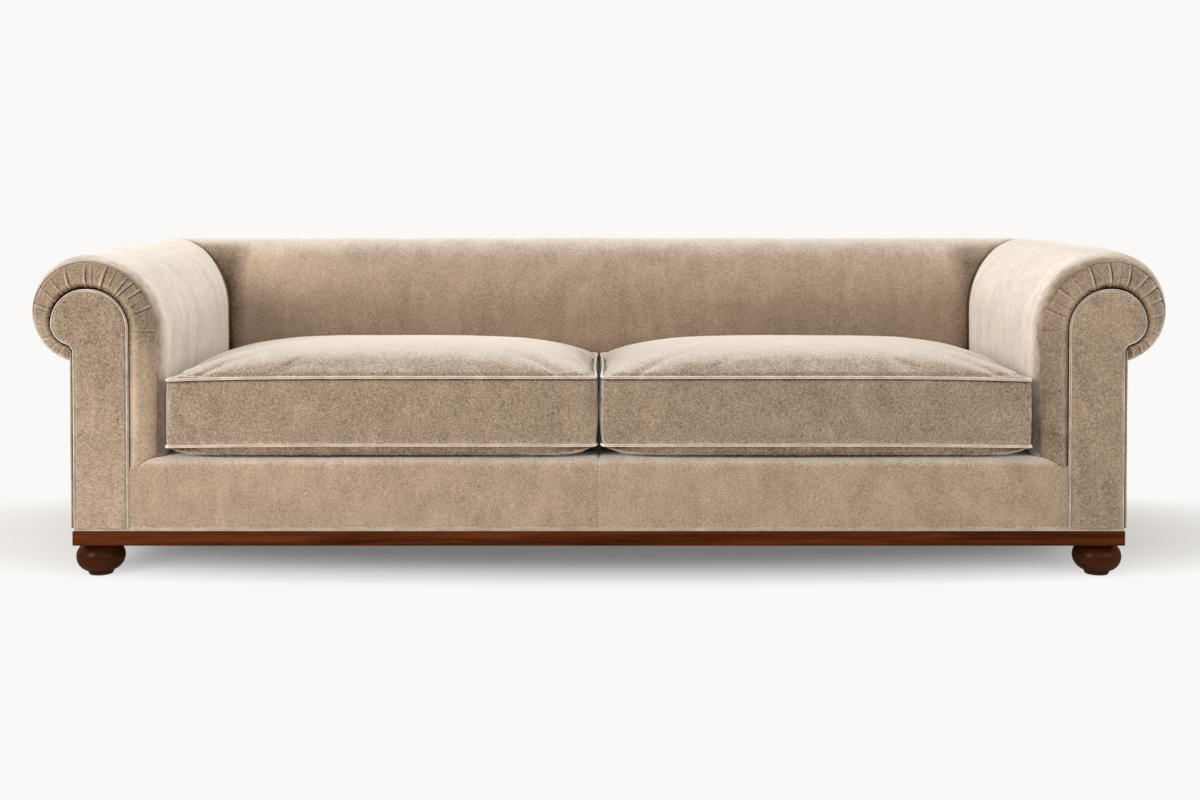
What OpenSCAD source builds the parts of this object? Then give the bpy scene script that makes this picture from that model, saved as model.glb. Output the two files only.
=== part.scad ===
// Two-seat chesterfield sofa with rolled arms and back of one height, loose cushions and bun feet.
// X runs along the sofa, the front faces -Y and Z is up. The origin is on the floor, mid plan.

/* [Seat] */
// Width between the inner faces of the arms
seat_w = 1866; // [1500:2:2300]
// Depth from the front plane to the inner face of the back
seat_d = 657; // [580:1:760]
// Height of the front edge of the deck
deck_h = 259; // [245:1:290]
// Fall of the deck towards the back, in degrees
deck_pitch = 2.2; // [0:0.1:3.5]
// Radius of the front rail's top edge
rail_r = 28; // [26:1:34]
// Depth of the velvet strip on the deck behind the front edge
lip_d = 92; // [60:1:140]

/* [Arms and back] */
// Height of the arms and the back
arm_h = 690; // [650:1:740]
// Thickness from the inner face to the outside panel
wall_t = 187; // [178:1:200]
// Radius of the crown on the inner side
crown_r = 168; // [150:1:172]
// Radius of the roll on the outer side
roll_r = 118; // [100:1:130]
// Thickness of foam and wadding under the velvet
pad_t = 24; // [18:1:26]
// Thickness of the curved board under the foam
board_t = 4; // [3:0.5:6]

/* [Arm front] */
// Width of the rounded front edge on the inner leg
nose_w = 65; // [58:1:72]
// Depth of the rounded front edge
nose_d = 75; // [60:1:90]
// Drop from the top of the arm to the top of the facing
facing_drop = 66; // [58:1:74]
// Radius of the facing's crown
facing_crown_r = 88; // [80:1:92]
// Radius of the facing's shoulder
facing_nose_r = 75; // [68:1:80]
// Radius of the facing's tip
facing_tip_r = 47.5; // [42:0.5:50]
// Thickness of the facing panel
facing_t = 10; // [8:1:12]
// Inset of the facing's outer edge from the outside panel
facing_inset = 2; // [1:0.5:4]
// Height of the gathers in the ruched band
pleat_h = 2.5; // [0:0.5:4]
// Number of gathers round the scroll
pleat_count = 11; // [7:1:14]

/* [Cushions] */
// Height between the two seams of a cushion
boxing_h = 143; // [110:1:160]
// Rise of the top above the upper seam
crown_top = 68; // [40:1:85]
// Drop of the underside below the lower seam
crown_bottom = 22.7; // [15:0.1:30]
// How far the sides are drawn in between the corners
draw_in = 4; // [2:1:8]
// How far the corners are rounded off
corner_in = 4; // [2:1:10]
// Thickness of the welts
welt_d = 6; // [4:0.5:8]
// Gap between the two cushions
cushion_gap = 4; // [3:1:10]
// Clearance from a cushion to the arm
arm_clear = 7; // [4:1:15]
// Clearance from a cushion to the back
back_clear = 3; // [2:1:10]
// Setback of the cushions from the front plane
setback = 6; // [3:1:20]

/* [Plinth and feet] */
// Height of the feet
foot_h = 75; // [65:1:90]
// Widest diameter of a foot
foot_d = 103; // [90:1:112]
// Distance of a foot's centre from the front or back of the plinth
foot_in = 70; // [66:1:76]
// Distance of a foot's centre from the end of the plinth
foot_end_in = 39; // [36:1:50]
// Height of the plinth
plinth_h = 31; // [25:1:36]
// Thickness of the plinth boards
plinth_t = 20; // [16:1:24]
// Setback of the plinth from the outside panels
plinth_in = 3; // [1:1:6]
// Diameter of the piping round the facings and the base
pipe_d = 5.5; // [4:0.5:7]

/* [Frame and springs] */
// Thickness of the rails
rail_t = 25; // [20:1:28]
// Thickness of the plywood ribs and scroll boards
ply_t = 18; // [15:1:22]
// Number of zigzag springs
spring_count = 12; // [8:2:14]
// Waves in each spring
spring_waves = 10; // [8:1:12]
// Width of a spring
spring_w = 50; // [40:1:60]
// Thickness of the spring wire
wire_d = 3.8; // [3:0.1:4.2]

/* [Hidden] */
$fn = 48;

// Fits: soft layers lie this far apart, a bolt has this play in its hole, and a cut runs past by this
gap = 0.3;
bolt_play = 0.3;
overrun = 1;

// Colours
velvet = [0.72, 0.64, 0.56];
velvet_light = [0.82, 0.75, 0.67];
walnut = [0.25, 0.12, 0.06];
timber = [0.78, 0.64, 0.44];
foam = [0.93, 0.88, 0.72];
steel = [0.62, 0.63, 0.65];
dark_cloth = [0.13, 0.13, 0.14];

// The rolled section: u runs outwards from the inner face, z upwards
cover_t = 2;
crown_u = crown_r;
crown_z = arm_h - crown_r;
roll_z = arm_h - roll_r;
roll_out = crown_r + roll_r;
crown_steps = 8;
roll_steps = 13;

// Places in plan
pipe_r = pipe_d / 2;
pipe_seat = 0.5;
pipe_proud = pipe_r - pipe_seat;
inner_x = seat_w / 2;
panel_x = inner_x + wall_t;
front_y = -(seat_d + roll_out + pipe_proud) / 2 + pipe_proud;
back_y = front_y + seat_d;
panel_y = back_y + wall_t;
edge_y = front_y + rail_r;

// Heights
plinth_top = foot_h + plinth_h;
cover_low = plinth_top + pipe_d + 2 * gap;
rail_z = deck_h - rail_r;

// Layers of an arm or the back, as depths below the velvet
pad_in = cover_t + gap;
pad_out = cover_t + pad_t;
board_in = pad_out + gap;
board_out = board_in + board_t;
rib_in = board_out + gap;

// Height of the deck, and of its rounded front edge, at a distance from the front
function deck_z(y) = rail_z + rail_r / cos(deck_pitch) - (y - edge_y) * tan(deck_pitch);
function deck_level(y, h) = deck_z(y) - (rail_r - h) / cos(deck_pitch);
function edge_z(y) = rail_z + sqrt(max(0, rail_r * rail_r - pow(edge_y - y, 2)));
function seat_z(y) = y < edge_y ? edge_z(max(y, front_y)) : deck_z(y);
leg_gap = 1.1;

// Points along an arc, both ends included, or without its first point
function arc(x, z, r, from, to, steps, first = 0) =
    [for (i = [first:steps]) let (a = from + (to - from) * i / steps) [x + r * cos(a), z + r * sin(a)]];

function reversed(list) = [for (i = [len(list) - 1:-1:0]) list[i]];
function flat(lists) = [for (l = lists) each l];

// Where the roll meets the outside panel
function roll_end(inset) = -acos((wall_t - crown_u) / (roll_r - inset));

// The rolled outline at a depth below the velvet, from the inner face's foot to the outside panel
function rolled(inset, low) = concat(
    [[inset, low]],
    arc(crown_u, crown_z, crown_r - inset, 180, 90, crown_steps),
    arc(crown_u, roll_z, roll_r - inset, 90, roll_end(inset), roll_steps, 1));

// The facing's outline, with the same number of points as the rolled outline
facing_u = nose_w + facing_crown_r;
facing_z = arm_h - facing_drop;
facing_outer = wall_t - facing_inset;
facing_tip_u = facing_u + facing_nose_r - facing_tip_r;
facing_tip_z = facing_z - facing_nose_r;
shoulder_steps = 7;
tip_steps = roll_steps - shoulder_steps;
tip_angle = 75;
function facing_scroll(inset, low) = concat(
    [[nose_w + inset, low]],
    arc(facing_u, facing_z - facing_crown_r, facing_crown_r - inset, 180, 90, crown_steps),
    arc(facing_u, facing_tip_z, facing_nose_r - inset, 90, 0, shoulder_steps, 1),
    arc(facing_tip_u, facing_tip_z, facing_tip_r - inset, 0, -tip_angle, tip_steps, 1));

// The hollow where the facing's tip turns down into its outer edge
neck_r = (facing_tip_u + facing_tip_r * cos(tip_angle) - facing_outer) / (1 - cos(tip_angle));
neck_u = facing_outer + neck_r;
neck_z = facing_tip_z - (facing_tip_r + neck_r) * sin(tip_angle);
neck_steps = 4;
function facing_outline(inset, low) = concat(
    facing_scroll(inset, low),
    arc(neck_u, neck_z, neck_r + inset, 180 - tip_angle, 180, neck_steps, 1),
    [[facing_outer - inset, low]]);

// A curve resampled so that each of its spans has the given number of parts
function refined(points, parts) = concat(
    [for (i = [0:len(points) - 2], k = [0:parts - 1]) points[i] + (points[i + 1] - points[i]) * k / parts],
    [points[len(points) - 1]]);

// One ring of the arm's surface: turn 0 lies at the facing, turn 90 where the arm's section is full
function arm_ring(turn, depth, extra = 0) =
    let (share = sin(turn),
         y = front_y + nose_d * (1 - cos(turn)) + depth * cos(turn) + extra,
         low = seat_z(depth > cover_t ? max(y, edge_y) : y) + (y < edge_y + rail_r ? leg_gap : gap),
         outer = rolled(depth, low),
         inner = facing_scroll(0, low))
    [for (i = [0:len(outer) - 1]) let (p = inner[i] * (1 - share) + outer[i] * share) [p[0], y, p[1]]];

// The ring where the arm meets the back on a mitre
function mitre_ring(depth) =
    let (low = seat_z(back_y) + gap)
    [for (p = rolled(depth, low)) [p[0], back_y + p[0] - gap, p[1]]];

// A closed skin between two grids of points with the same rows and columns
module skin(outside, inside) {
    rows = len(outside);
    cols = len(outside[0]);
    half = rows * cols;
    function at(layer, row, col) = layer * half + row * cols + col;
    function quad(a, b, c, d) = [[a, b, c], [a, c, d]];
    faces = concat(
        flat([for (r = [0:rows - 2], c = [0:cols - 2])
            quad(at(0, r, c), at(0, r, c + 1), at(0, r + 1, c + 1), at(0, r + 1, c))]),
        flat([for (r = [0:rows - 2], c = [0:cols - 2])
            quad(at(1, r, c), at(1, r + 1, c), at(1, r + 1, c + 1), at(1, r, c + 1))]),
        flat([for (c = [0:cols - 2])
            quad(at(0, 0, c), at(1, 0, c), at(1, 0, c + 1), at(0, 0, c + 1))]),
        flat([for (c = [0:cols - 2])
            quad(at(0, rows - 1, c), at(0, rows - 1, c + 1), at(1, rows - 1, c + 1), at(1, rows - 1, c))]),
        flat([for (r = [0:rows - 2])
            quad(at(0, r, 0), at(0, r + 1, 0), at(1, r + 1, 0), at(1, r, 0))]),
        flat([for (r = [0:rows - 2])
            quad(at(0, r, cols - 1), at(1, r, cols - 1), at(1, r + 1, cols - 1), at(0, r + 1, cols - 1))]));
    polyhedron(points = concat(flat(outside), flat(inside)), faces = faces);
}

// A tube along a path in the XY plane, open or closed
function path_dir(path, i, closed) =
    let (n = len(path),
         before = closed ? path[(i + n - 1) % n] : path[max(i - 1, 0)],
         after = closed ? path[(i + 1) % n] : path[min(i + 1, n - 1)],
         d = after - before)
    d / norm(d);
module tube(path, r, sides, closed) {
    n = len(path);
    points = [for (i = [0:n - 1]) let (d = path_dir(path, i, closed)) for (k = [0:sides - 1])
        let (a = 360 * k / sides)
        [path[i][0] + d[1] * r * cos(a), path[i][1] - d[0] * r * cos(a), r * sin(a)]];
    walls = [for (i = [0:n - (closed ? 1 : 2)], k = [0:sides - 1])
        let (j = (i + 1) % n, m = (k + 1) % sides)
        each [[i * sides + k, j * sides + k, j * sides + m], [i * sides + k, j * sides + m, i * sides + m]]];
    start = [for (k = [1:sides - 2]) [0, k, k + 1]];
    end = [for (k = [1:sides - 2]) [(n - 1) * sides, (n - 1) * sides + k + 1, (n - 1) * sides + k]];
    polyhedron(points = points, faces = closed ? walls : concat(walls, start, end));
}

// Places a shape made for the right arm, measured from its inner face, on either side
module on_side(side) {
    mirror([side < 0 ? 1 : 0, 0, 0]) translate([inner_x, 0, 0]) children();
}

// Stands an outline drawn in u and z upright across an arm, from y to y plus a thickness
module across_arm(y, thickness) {
    translate([0, y + thickness, 0]) rotate([90, 0, 0]) linear_extrude(thickness) children();
}

// Runs an outline drawn in y and z along X
module along_x(from, to) {
    translate([from, 0, 0]) rotate([90, 0, 90]) linear_extrude(to - from) children();
}

module block(low, high) {
    translate(low) cube(high - low);
}

// Seat parts are laid in the deck's own slope, with zero at the rails' top edge
module on_deck() {
    translate([0, edge_y, rail_z]) rotate([-deck_pitch, 0, 0]) children();
}

// Feet
glide_h = 4;
glide_r = 25;
foot_foot_r = 27;
foot_foot_h = 4;
foot_neck_r = 28;
foot_neck_h = 5;
bun_sink = 1;
bun_r = (foot_h - glide_h - foot_foot_h - foot_neck_h) / 2 + bun_sink;
bun_z = glide_h + foot_foot_h - bun_sink + bun_r;
bolt_r = 4;
bolt_in_foot = 45;
block_h = 45;
nut_r = 5.5;
nut_h = 12;
nut_flange_r = 11;
nut_flange_h = 1.5;
bolt_end = 8;
module at_foot(side, end) {
    x = panel_x - plinth_in - foot_end_in;
    y = end < 0 ? front_y + foot_in : panel_y - plinth_in - foot_in;
    translate([side * x, y, 0]) children();
}
module foot_form() {
    difference() {
        rotate_extrude() {
            translate([0, glide_h]) square([foot_foot_r, 2 * foot_foot_h]);
            translate([0, foot_h - 2 * foot_neck_h]) square([foot_neck_r, 2 * foot_neck_h]);
            translate([0, bun_z - bun_r]) square([foot_d / 2 - bun_r, 2 * bun_r]);
            intersection() {
                translate([foot_d / 2 - bun_r, bun_z]) circle(bun_r);
                translate([0, bun_z - bun_r]) square([foot_d, 2 * bun_r]);
            }
        }
        translate([0, 0, foot_h - bolt_in_foot])
            cylinder(r = bolt_r + bolt_play, h = bolt_in_foot + overrun);
    }
}
module foot_front_left() {
    color(walnut) at_foot(-1, -1) foot_form();
}
module foot_front_right() {
    color(walnut) at_foot(1, -1) foot_form();
}
module foot_rear_left() {
    color(walnut) at_foot(-1, 1) foot_form();
}
module foot_rear_right() {
    color(walnut) at_foot(1, 1) foot_form();
}
module foot_glides() {
    color(dark_cloth) for (side = [-1, 1], end = [-1, 1])
        at_foot(side, end) cylinder(r = glide_r, h = glide_h);
}
module foot_bolts() {
    color(steel) for (side = [-1, 1], end = [-1, 1])
        at_foot(side, end) translate([0, 0, foot_h - bolt_in_foot + gap])
            cylinder(r = bolt_r, h = bolt_in_foot - gap + block_h + bolt_end);
}
module foot_tee_nuts() {
    color(steel) for (side = [-1, 1], end = [-1, 1])
        at_foot(side, end) translate([0, 0, foot_h + block_h]) difference() {
            union() {
                translate([0, 0, -nut_h]) cylinder(r = nut_r, h = nut_h);
                cylinder(r = nut_flange_r, h = nut_flange_h);
            }
            translate([0, 0, -nut_h - overrun])
                cylinder(r = bolt_r + bolt_play, h = nut_h + nut_flange_h + 2 * overrun);
        }
}

// Plinth boards, mitred at the corners
plinth_x = panel_x - plinth_in;
plinth_y = panel_y - plinth_in;
module plinth_board(outline) {
    color(walnut) translate([0, 0, foot_h]) linear_extrude(plinth_h) polygon(outline);
}
module plinth_front() {
    plinth_board([[-plinth_x, front_y], [plinth_x, front_y],
        [plinth_x - plinth_t, front_y + plinth_t], [-plinth_x + plinth_t, front_y + plinth_t]]);
}
module plinth_back() {
    plinth_board([[-plinth_x, plinth_y], [-plinth_x + plinth_t, plinth_y - plinth_t],
        [plinth_x - plinth_t, plinth_y - plinth_t], [plinth_x, plinth_y]]);
}
module plinth_end(side) {
    plinth_board([[side * plinth_x, front_y], [side * plinth_x, plinth_y],
        [side * (plinth_x - plinth_t), plinth_y - plinth_t],
        [side * (plinth_x - plinth_t), front_y + plinth_t]]);
}
module plinth_left() {
    plinth_end(-1);
}
module plinth_right() {
    plinth_end(1);
}

// Base frame
rail_pad_t = 10;
front_rail_t = 30;
front_rail_y = front_y + pad_in + rail_pad_t + gap;
scroll_inset = pipe_d + gap;
frame_in = nose_w + scroll_inset;
frame_x = inner_x + frame_in;
back_rail_y = back_y + frame_in;
scroll_board_y = front_y + facing_t + gap;
side_rail_y = scroll_board_y + ply_t;
block_w = plinth_x - plinth_t - frame_x - rail_t;
block_d = 90;
function rail_top(y) = deck_level(y, 0);
module sloped_rail(y0, y1) {
    polygon([[y0, plinth_top], [y1, plinth_top], [y1, rail_top(y1)], [y0, rail_top(y0)]]);
}
module front_rail() {
    color(timber) along_x(-frame_x, frame_x) sloped_rail(front_rail_y, front_rail_y + front_rail_t);
}
module back_rail() {
    color(timber) along_x(-frame_x, frame_x) sloped_rail(back_rail_y, back_rail_y + rail_t);
}
module side_rail_form(x) {
    along_x(x, x + rail_t) sloped_rail(side_rail_y, back_rail_y + rail_t);
}
module side_rails() {
    color(timber) side_rail_form(frame_x);
    color(timber) side_rail_form(-frame_x - rail_t);
}
centre_rail_h = 64;
centre_rail_spacing = 640;
module centre_rails() {
    color(timber) for (side = [-1, 1])
        block([side * centre_rail_spacing / 2 - rail_t / 2, front_rail_y + front_rail_t, plinth_top],
            [side * centre_rail_spacing / 2 + rail_t / 2, back_rail_y, plinth_top + centre_rail_h]);
}
module corner_block_form(side, end) {
    y0 = end < 0 ? side_rail_y : plinth_y - plinth_t - block_d;
    x0 = frame_x + rail_t;
    block([side < 0 ? -x0 - block_w : x0, y0, foot_h],
        [side < 0 ? -x0 : x0 + block_w, y0 + block_d, foot_h + block_h]);
}
module corner_blocks() {
    color(timber) for (side = [-1, 1], end = [-1, 1]) difference() {
        corner_block_form(side, end);
        at_foot(side, end) {
            translate([0, 0, foot_h - overrun]) cylinder(r = bolt_r + bolt_play, h = block_h + 2 * overrun);
            translate([0, 0, foot_h + block_h - nut_h - gap])
                cylinder(r = nut_r + bolt_play, h = nut_h + gap + overrun);
        }
    }
}

// Arm and back frames
top_rail_w = 40;
top_rail_u = 110;
top_rail_drop = 85;
top_rail_h = 25;
top_rail_z = arm_h - top_rail_drop - top_rail_h;
outer_face = wall_t - cover_t - gap;
module rib_outline() {
    points = rolled(rib_in, plinth_top);
    polygon(concat(points, [[outer_face, points[len(points) - 1][1]], [outer_face, plinth_top]]));
}
module rail_notches() {
    translate([wall_t - pipe_d - gap, plinth_top - overrun])
        square([pipe_d + 2 * gap, pipe_d + 2 * gap + overrun]);
    translate([frame_in, plinth_top - overrun])
        square([rail_t, rail_z - plinth_top + overrun]);
    translate([top_rail_u, top_rail_z]) square([top_rail_w, top_rail_h]);
}
mid_rib_share = 0.5;
mid_rib_y = front_y + (seat_d - ply_t) * mid_rib_share;
rear_rib_y = back_y - ply_t - cover_t;
module scroll_boards(side) {
    on_side(side) {
        across_arm(scroll_board_y, ply_t) polygon(facing_outline(scroll_inset, plinth_top));
        for (y = [mid_rib_y, rear_rib_y]) across_arm(y, ply_t) difference() {
            rib_outline();
            rail_notches();
        }
    }
}
module scroll_boards_left() {
    color(timber) scroll_boards(-1);
}
module scroll_boards_right() {
    color(timber) scroll_boards(1);
}
module arm_top_rails() {
    color(timber) for (side = [-1, 1]) on_side(side)
        block([top_rail_u, side_rail_y, top_rail_z],
            [top_rail_u + top_rail_w, back_y + top_rail_u, top_rail_z + top_rail_h]);
}
spring_edge = 53;
spring_pitch = (seat_w - 2 * spring_edge) / (spring_count - 1);
rib_places = [0, spring_pitch * round(spring_count / 4), inner_x - ply_t];
module back_rib(x) {
    along_x(x - ply_t / 2, x + ply_t / 2) translate([back_y, 0]) difference() {
        rib_outline();
        rail_notches();
    }
}
module back_ribs() {
    color(timber) back_rib(0);
    color(timber) for (side = [-1, 1], i = [1, 2]) back_rib(side * rib_places[i]);
}
module back_top_rail() {
    reach = inner_x + top_rail_u + top_rail_w;
    color(timber) block([-reach, back_y + top_rail_u, top_rail_z],
        [reach, back_y + top_rail_u + top_rail_w, top_rail_z + top_rail_h]);
}

// Skins of an arm: each layer wraps from the facing over the rounded front to the mitre
nose_angles = [4, 15, 30, 45, 60, 75, 90];
seam_angle = 45;
module arm_layer(side, from_depth, to_depth) {
    on_side(side) skin(
        concat([for (t = nose_angles) arm_ring(t, from_depth)], [mitre_ring(from_depth)]),
        concat([for (t = nose_angles) arm_ring(t, to_depth)], [mitre_ring(to_depth)]));
}
module arm_board_left() {
    color(timber) arm_layer(-1, board_in, board_out);
}
module arm_board_right() {
    color(timber) arm_layer(1, board_in, board_out);
}
module arm_pad_left() {
    color(foam) arm_layer(-1, pad_in, pad_out);
}
module arm_pad_right() {
    color(foam) arm_layer(1, pad_in, pad_out);
}
module arm_cover(side) {
    turns = [for (t = nose_angles) if (t >= seam_angle) t];
    function ring(t, depth) = arm_ring(t, depth, t == seam_angle ? gap : 0);
    on_side(side) skin(
        concat([for (t = turns) ring(t, 0)], [mitre_ring(0)]),
        concat([for (t = turns) ring(t, cover_t)], [mitre_ring(cover_t)]));
}
module arm_cover_left() {
    color(velvet_light) arm_cover(-1);
}
module arm_cover_right() {
    color(velvet_light) arm_cover(1);
}

// The ruched band: gathers stand out round the scroll and die away at both edges and down the leg
ruche_steps = 2;
function gather(i, last, turn) =
    let (share = (i - ruche_steps) / (last - ruche_steps))
    share <= 0 ? 0 : pleat_h * sin(180 * turn / seam_angle) * (1 - cos(360 * pleat_count * share)) / 2;
function ruche_ring(turn, depth) =
    let (base = refined(arm_ring(turn, depth), ruche_steps), last = len(base) - 1)
    [for (i = [0:last])
        let (out = base[i] - [facing_u, base[i][1], facing_tip_z],
             lift = depth > 0 ? 0 : gather(i, last, turn))
        base[i] + lift * sin(turn) * out / norm(out) - [0, lift * cos(turn), 0]];
module arm_ruche(side) {
    turns = [for (t = nose_angles) if (t <= seam_angle) t];
    on_side(side) skin([for (t = turns) ruche_ring(t, 0)], [for (t = turns) ruche_ring(t, cover_t)]);
}
module arm_ruche_left() {
    color(velvet) arm_ruche(-1);
}
module arm_ruche_right() {
    color(velvet) arm_ruche(1);
}
module arm_facing(side) {
    on_side(side) across_arm(front_y, facing_t) polygon(facing_outline(pipe_r + gap, cover_low));
}
module arm_facing_left() {
    color(velvet) arm_facing(-1);
}
module arm_facing_right() {
    color(velvet) arm_facing(1);
}
pipe_steps = 6;
module facing_piping(side) {
    on_side(side) translate([0, front_y + pipe_seat, 0]) rotate([90, 0, 0])
        tube(facing_outline(0, cover_low), pipe_r, pipe_steps, false);
}
module facing_piping_left() {
    color(velvet_light) facing_piping(-1);
}
module facing_piping_right() {
    color(velvet_light) facing_piping(1);
}

// The back: straight runs of the same section, mitred at both ends
back_low = seat_z(back_y) + gap;
module back_mitre() {
    reach = roll_out + overrun;
    linear_extrude(arm_h + overrun) polygon([
        [-inner_x + overrun, back_y - overrun], [inner_x - overrun, back_y - overrun],
        [inner_x + reach, back_y + reach], [-inner_x - reach, back_y + reach]]);
}
module back_layer(from_depth, to_depth) {
    intersection() {
        along_x(-inner_x - roll_out, inner_x + roll_out) translate([back_y, 0])
            polygon(concat(rolled(from_depth, back_low), reversed(rolled(to_depth, back_low))));
        back_mitre();
    }
}
module back_board() {
    color(timber) back_layer(board_in, board_out);
}
module back_pad() {
    color(foam) back_layer(pad_in, pad_out);
}
module back_cover() {
    color(velvet) back_layer(0, cover_t);
}

// Outside panels hang from under the roll to the base piping
roll_under = roll_z - sqrt(pow(roll_r, 2) - pow(wall_t - cover_t - crown_u, 2)) - 2 * gap;
panel_front_y = front_y + pipe_seat + pipe_r + gap;
tuck_angles = [30, 45, 60, 75, 90];
tuck_gap = 0.8;
function tuck_point(turn) =
    let (share = sin(turn), tip = facing_tip_z - facing_tip_r * sin(tip_angle))
    [front_y + nose_d * (1 - cos(turn)) + cover_t * cos(turn),
        tip * (1 - share) + roll_under * share - tuck_gap * cos(turn)];
module outside_arm_cover(side) {
    tucks = [for (t = tuck_angles) tuck_point(t)];
    on_side(side) along_x(wall_t - cover_t, wall_t) polygon(concat(
        [[panel_front_y, cover_low], [panel_front_y, tucks[0][1]]], tucks,
        [[panel_y, roll_under], [panel_y, cover_low]]));
}
module outside_arm_cover_left() {
    color(velvet) outside_arm_cover(-1);
}
module outside_arm_cover_right() {
    color(velvet) outside_arm_cover(1);
}
module outside_back_cover() {
    color(velvet) block([-panel_x + cover_t + gap, panel_y - cover_t, cover_low],
        [panel_x - cover_t - gap, panel_y, roll_under]);
}

// Front rail: cover in two halves, and the foam edge under it
rail_end_x = inner_x + nose_w - pipe_r - gap;
rail_steps = 8;
function edge_line(depth, y_end) = concat(
    [[front_y + depth, cover_low + (depth > cover_t ? gap : 0)]],
    arc(edge_y, rail_z, rail_r - depth, 180, 90 - deck_pitch, rail_steps),
    [[y_end, deck_z(y_end) - depth / cos(deck_pitch)]]);
lip_end = edge_y + lip_d;
rail_pad_end = front_rail_y + front_rail_t;
module front_rail_cover(from, to) {
    inner = reversed(edge_line(cover_t, lip_end));
    along_x(from, to) polygon(concat(edge_line(0, lip_end), inner));
}
module front_rail_cover_left() {
    color(velvet) front_rail_cover(-rail_end_x, -gap / 2);
}
module front_rail_cover_right() {
    color(velvet) front_rail_cover(gap / 2, rail_end_x);
}
module front_rail_pad() {
    color(foam) along_x(-rail_end_x, rail_end_x) polygon(concat(
        edge_line(pad_in, rail_pad_end),
        [for (y = [rail_pad_end, front_rail_y - gap]) [y, deck_level(y, wire_top + gap)]],
        [[front_rail_y - gap, cover_low + gap]]));
}

// Deck and springs, in the deck's slope
deck_x = inner_x + pad_out;
deck_pad_t = 20;
pad_top = rail_r - pad_in;
wire_top = pad_top - deck_pad_t - gap;
pad_start = (rail_pad_end - edge_y) / cos(deck_pitch) + rail_pad_t * sin(deck_pitch);
cover_start = lip_d / cos(deck_pitch) + gap + rail_r * sin(deck_pitch);
deck_end = seat_d - rail_r + pad_out;
module deck_pad() {
    color(foam) on_deck() block([-deck_x, pad_start, pad_top - deck_pad_t], [deck_x, deck_end, pad_top]);
}
module deck_cover() {
    color(velvet) on_deck() block([-deck_x, cover_start, rail_r - cover_t], [deck_x, deck_end, rail_r]);
}
clip_w = 22;
clip_d = 14;
spring_start = (front_rail_y + front_rail_t / 2 - edge_y) / cos(deck_pitch);
spring_end = (back_rail_y + rail_t / 2 - edge_y) / cos(deck_pitch);
function spring_x(i) = (i - (spring_count - 1) / 2) * spring_pitch;
function spring_path() =
    let (step = (spring_end - spring_start) / (2 * spring_waves), reach = (spring_w - wire_d) / 2)
    flat([for (i = [0:2 * spring_waves])
        let (side = i % 2 == 0 ? 1 : -1, y = spring_start + i * step)
        [[-side * reach, y], [side * reach, y]]]);
function turn_left(d) = [-d[1], d[0]];
function path_side(path, offset) = [for (i = [0:len(path) - 1])
    let (a = i > 0 ? path[i] - path[i - 1] : path[1] - path[0],
         b = i < len(path) - 1 ? path[i + 1] - path[i] : a,
         na = turn_left(a / norm(a)), nb = turn_left(b / norm(b)))
    path[i] + offset * (a * b == norm(a) * norm(b) ? na : na + nb)];
module seat_springs() {
    path = spring_path();
    outline = concat(path_side(path, wire_d / 2), reversed(path_side(path, -wire_d / 2)));
    color(steel) on_deck() for (i = [0:spring_count - 1])
        translate([spring_x(i), 0, wire_top - wire_d]) linear_extrude(wire_d) polygon(outline);
}
module spring_clips() {
    color(steel) on_deck() for (i = [0:spring_count - 1], y = [spring_start, spring_end])
        translate([spring_x(i), y, 0]) difference() {
            block([-clip_w / 2, -clip_d / 2, 0], [clip_w / 2, clip_d / 2, wire_top]);
            block([-clip_w / 2 - overrun, -wire_d / 2 - gap, wire_top - wire_d - gap],
                [clip_w / 2 + overrun, wire_d / 2 + gap, wire_top + overrun]);
        }
}
tie_r = 1.5;
tie_shares = [0.3, 0.66];
module spring_ties() {
    color(steel) on_deck() for (share = tie_shares)
        translate([-frame_x + gap, (seat_d - rail_r) * share, wire_top - wire_d - gap - tie_r])
            rotate([0, 90, 0]) cylinder(r = tie_r, h = 2 * (frame_x - gap));
}

// Piping between the plinth and the covers, and the cloth under the frame
module base_piping() {
    z = plinth_top + gap + pipe_r;
    side_len = panel_y - front_y - 4 * pipe_r - 2 * gap;
    color(velvet_light) {
        for (y = [front_y + pipe_r, panel_y - pipe_r])
            translate([-panel_x, y, z]) rotate([0, 90, 0]) cylinder(r = pipe_r, h = 2 * panel_x);
        for (side = [-1, 1])
            translate([side * (panel_x - pipe_r), front_y + 2 * pipe_r + gap, z]) rotate([-90, 0, 0])
                cylinder(r = pipe_r, h = side_len);
    }
}
dust_t = 1;
module dust_cover() {
    x = plinth_x - plinth_t - gap;
    z = plinth_top - gap;
    color(dark_cloth) difference() {
        block([-x, front_y + plinth_t + gap, z - dust_t], [x, plinth_y - plinth_t - gap, z]);
        for (side = [-1, 1], end = [-1, 1]) {
            y0 = end < 0 ? side_rail_y - gap : plinth_y - plinth_t - block_d - gap;
            x0 = frame_x + rail_t - gap;
            x1 = x0 + block_w + 2 * gap;
            block([min(side * x0, side * x1), y0, z - dust_t - overrun],
                [max(side * x0, side * x1), y0 + block_d + 2 * gap, z + overrun]);
        }
    }
}

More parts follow.
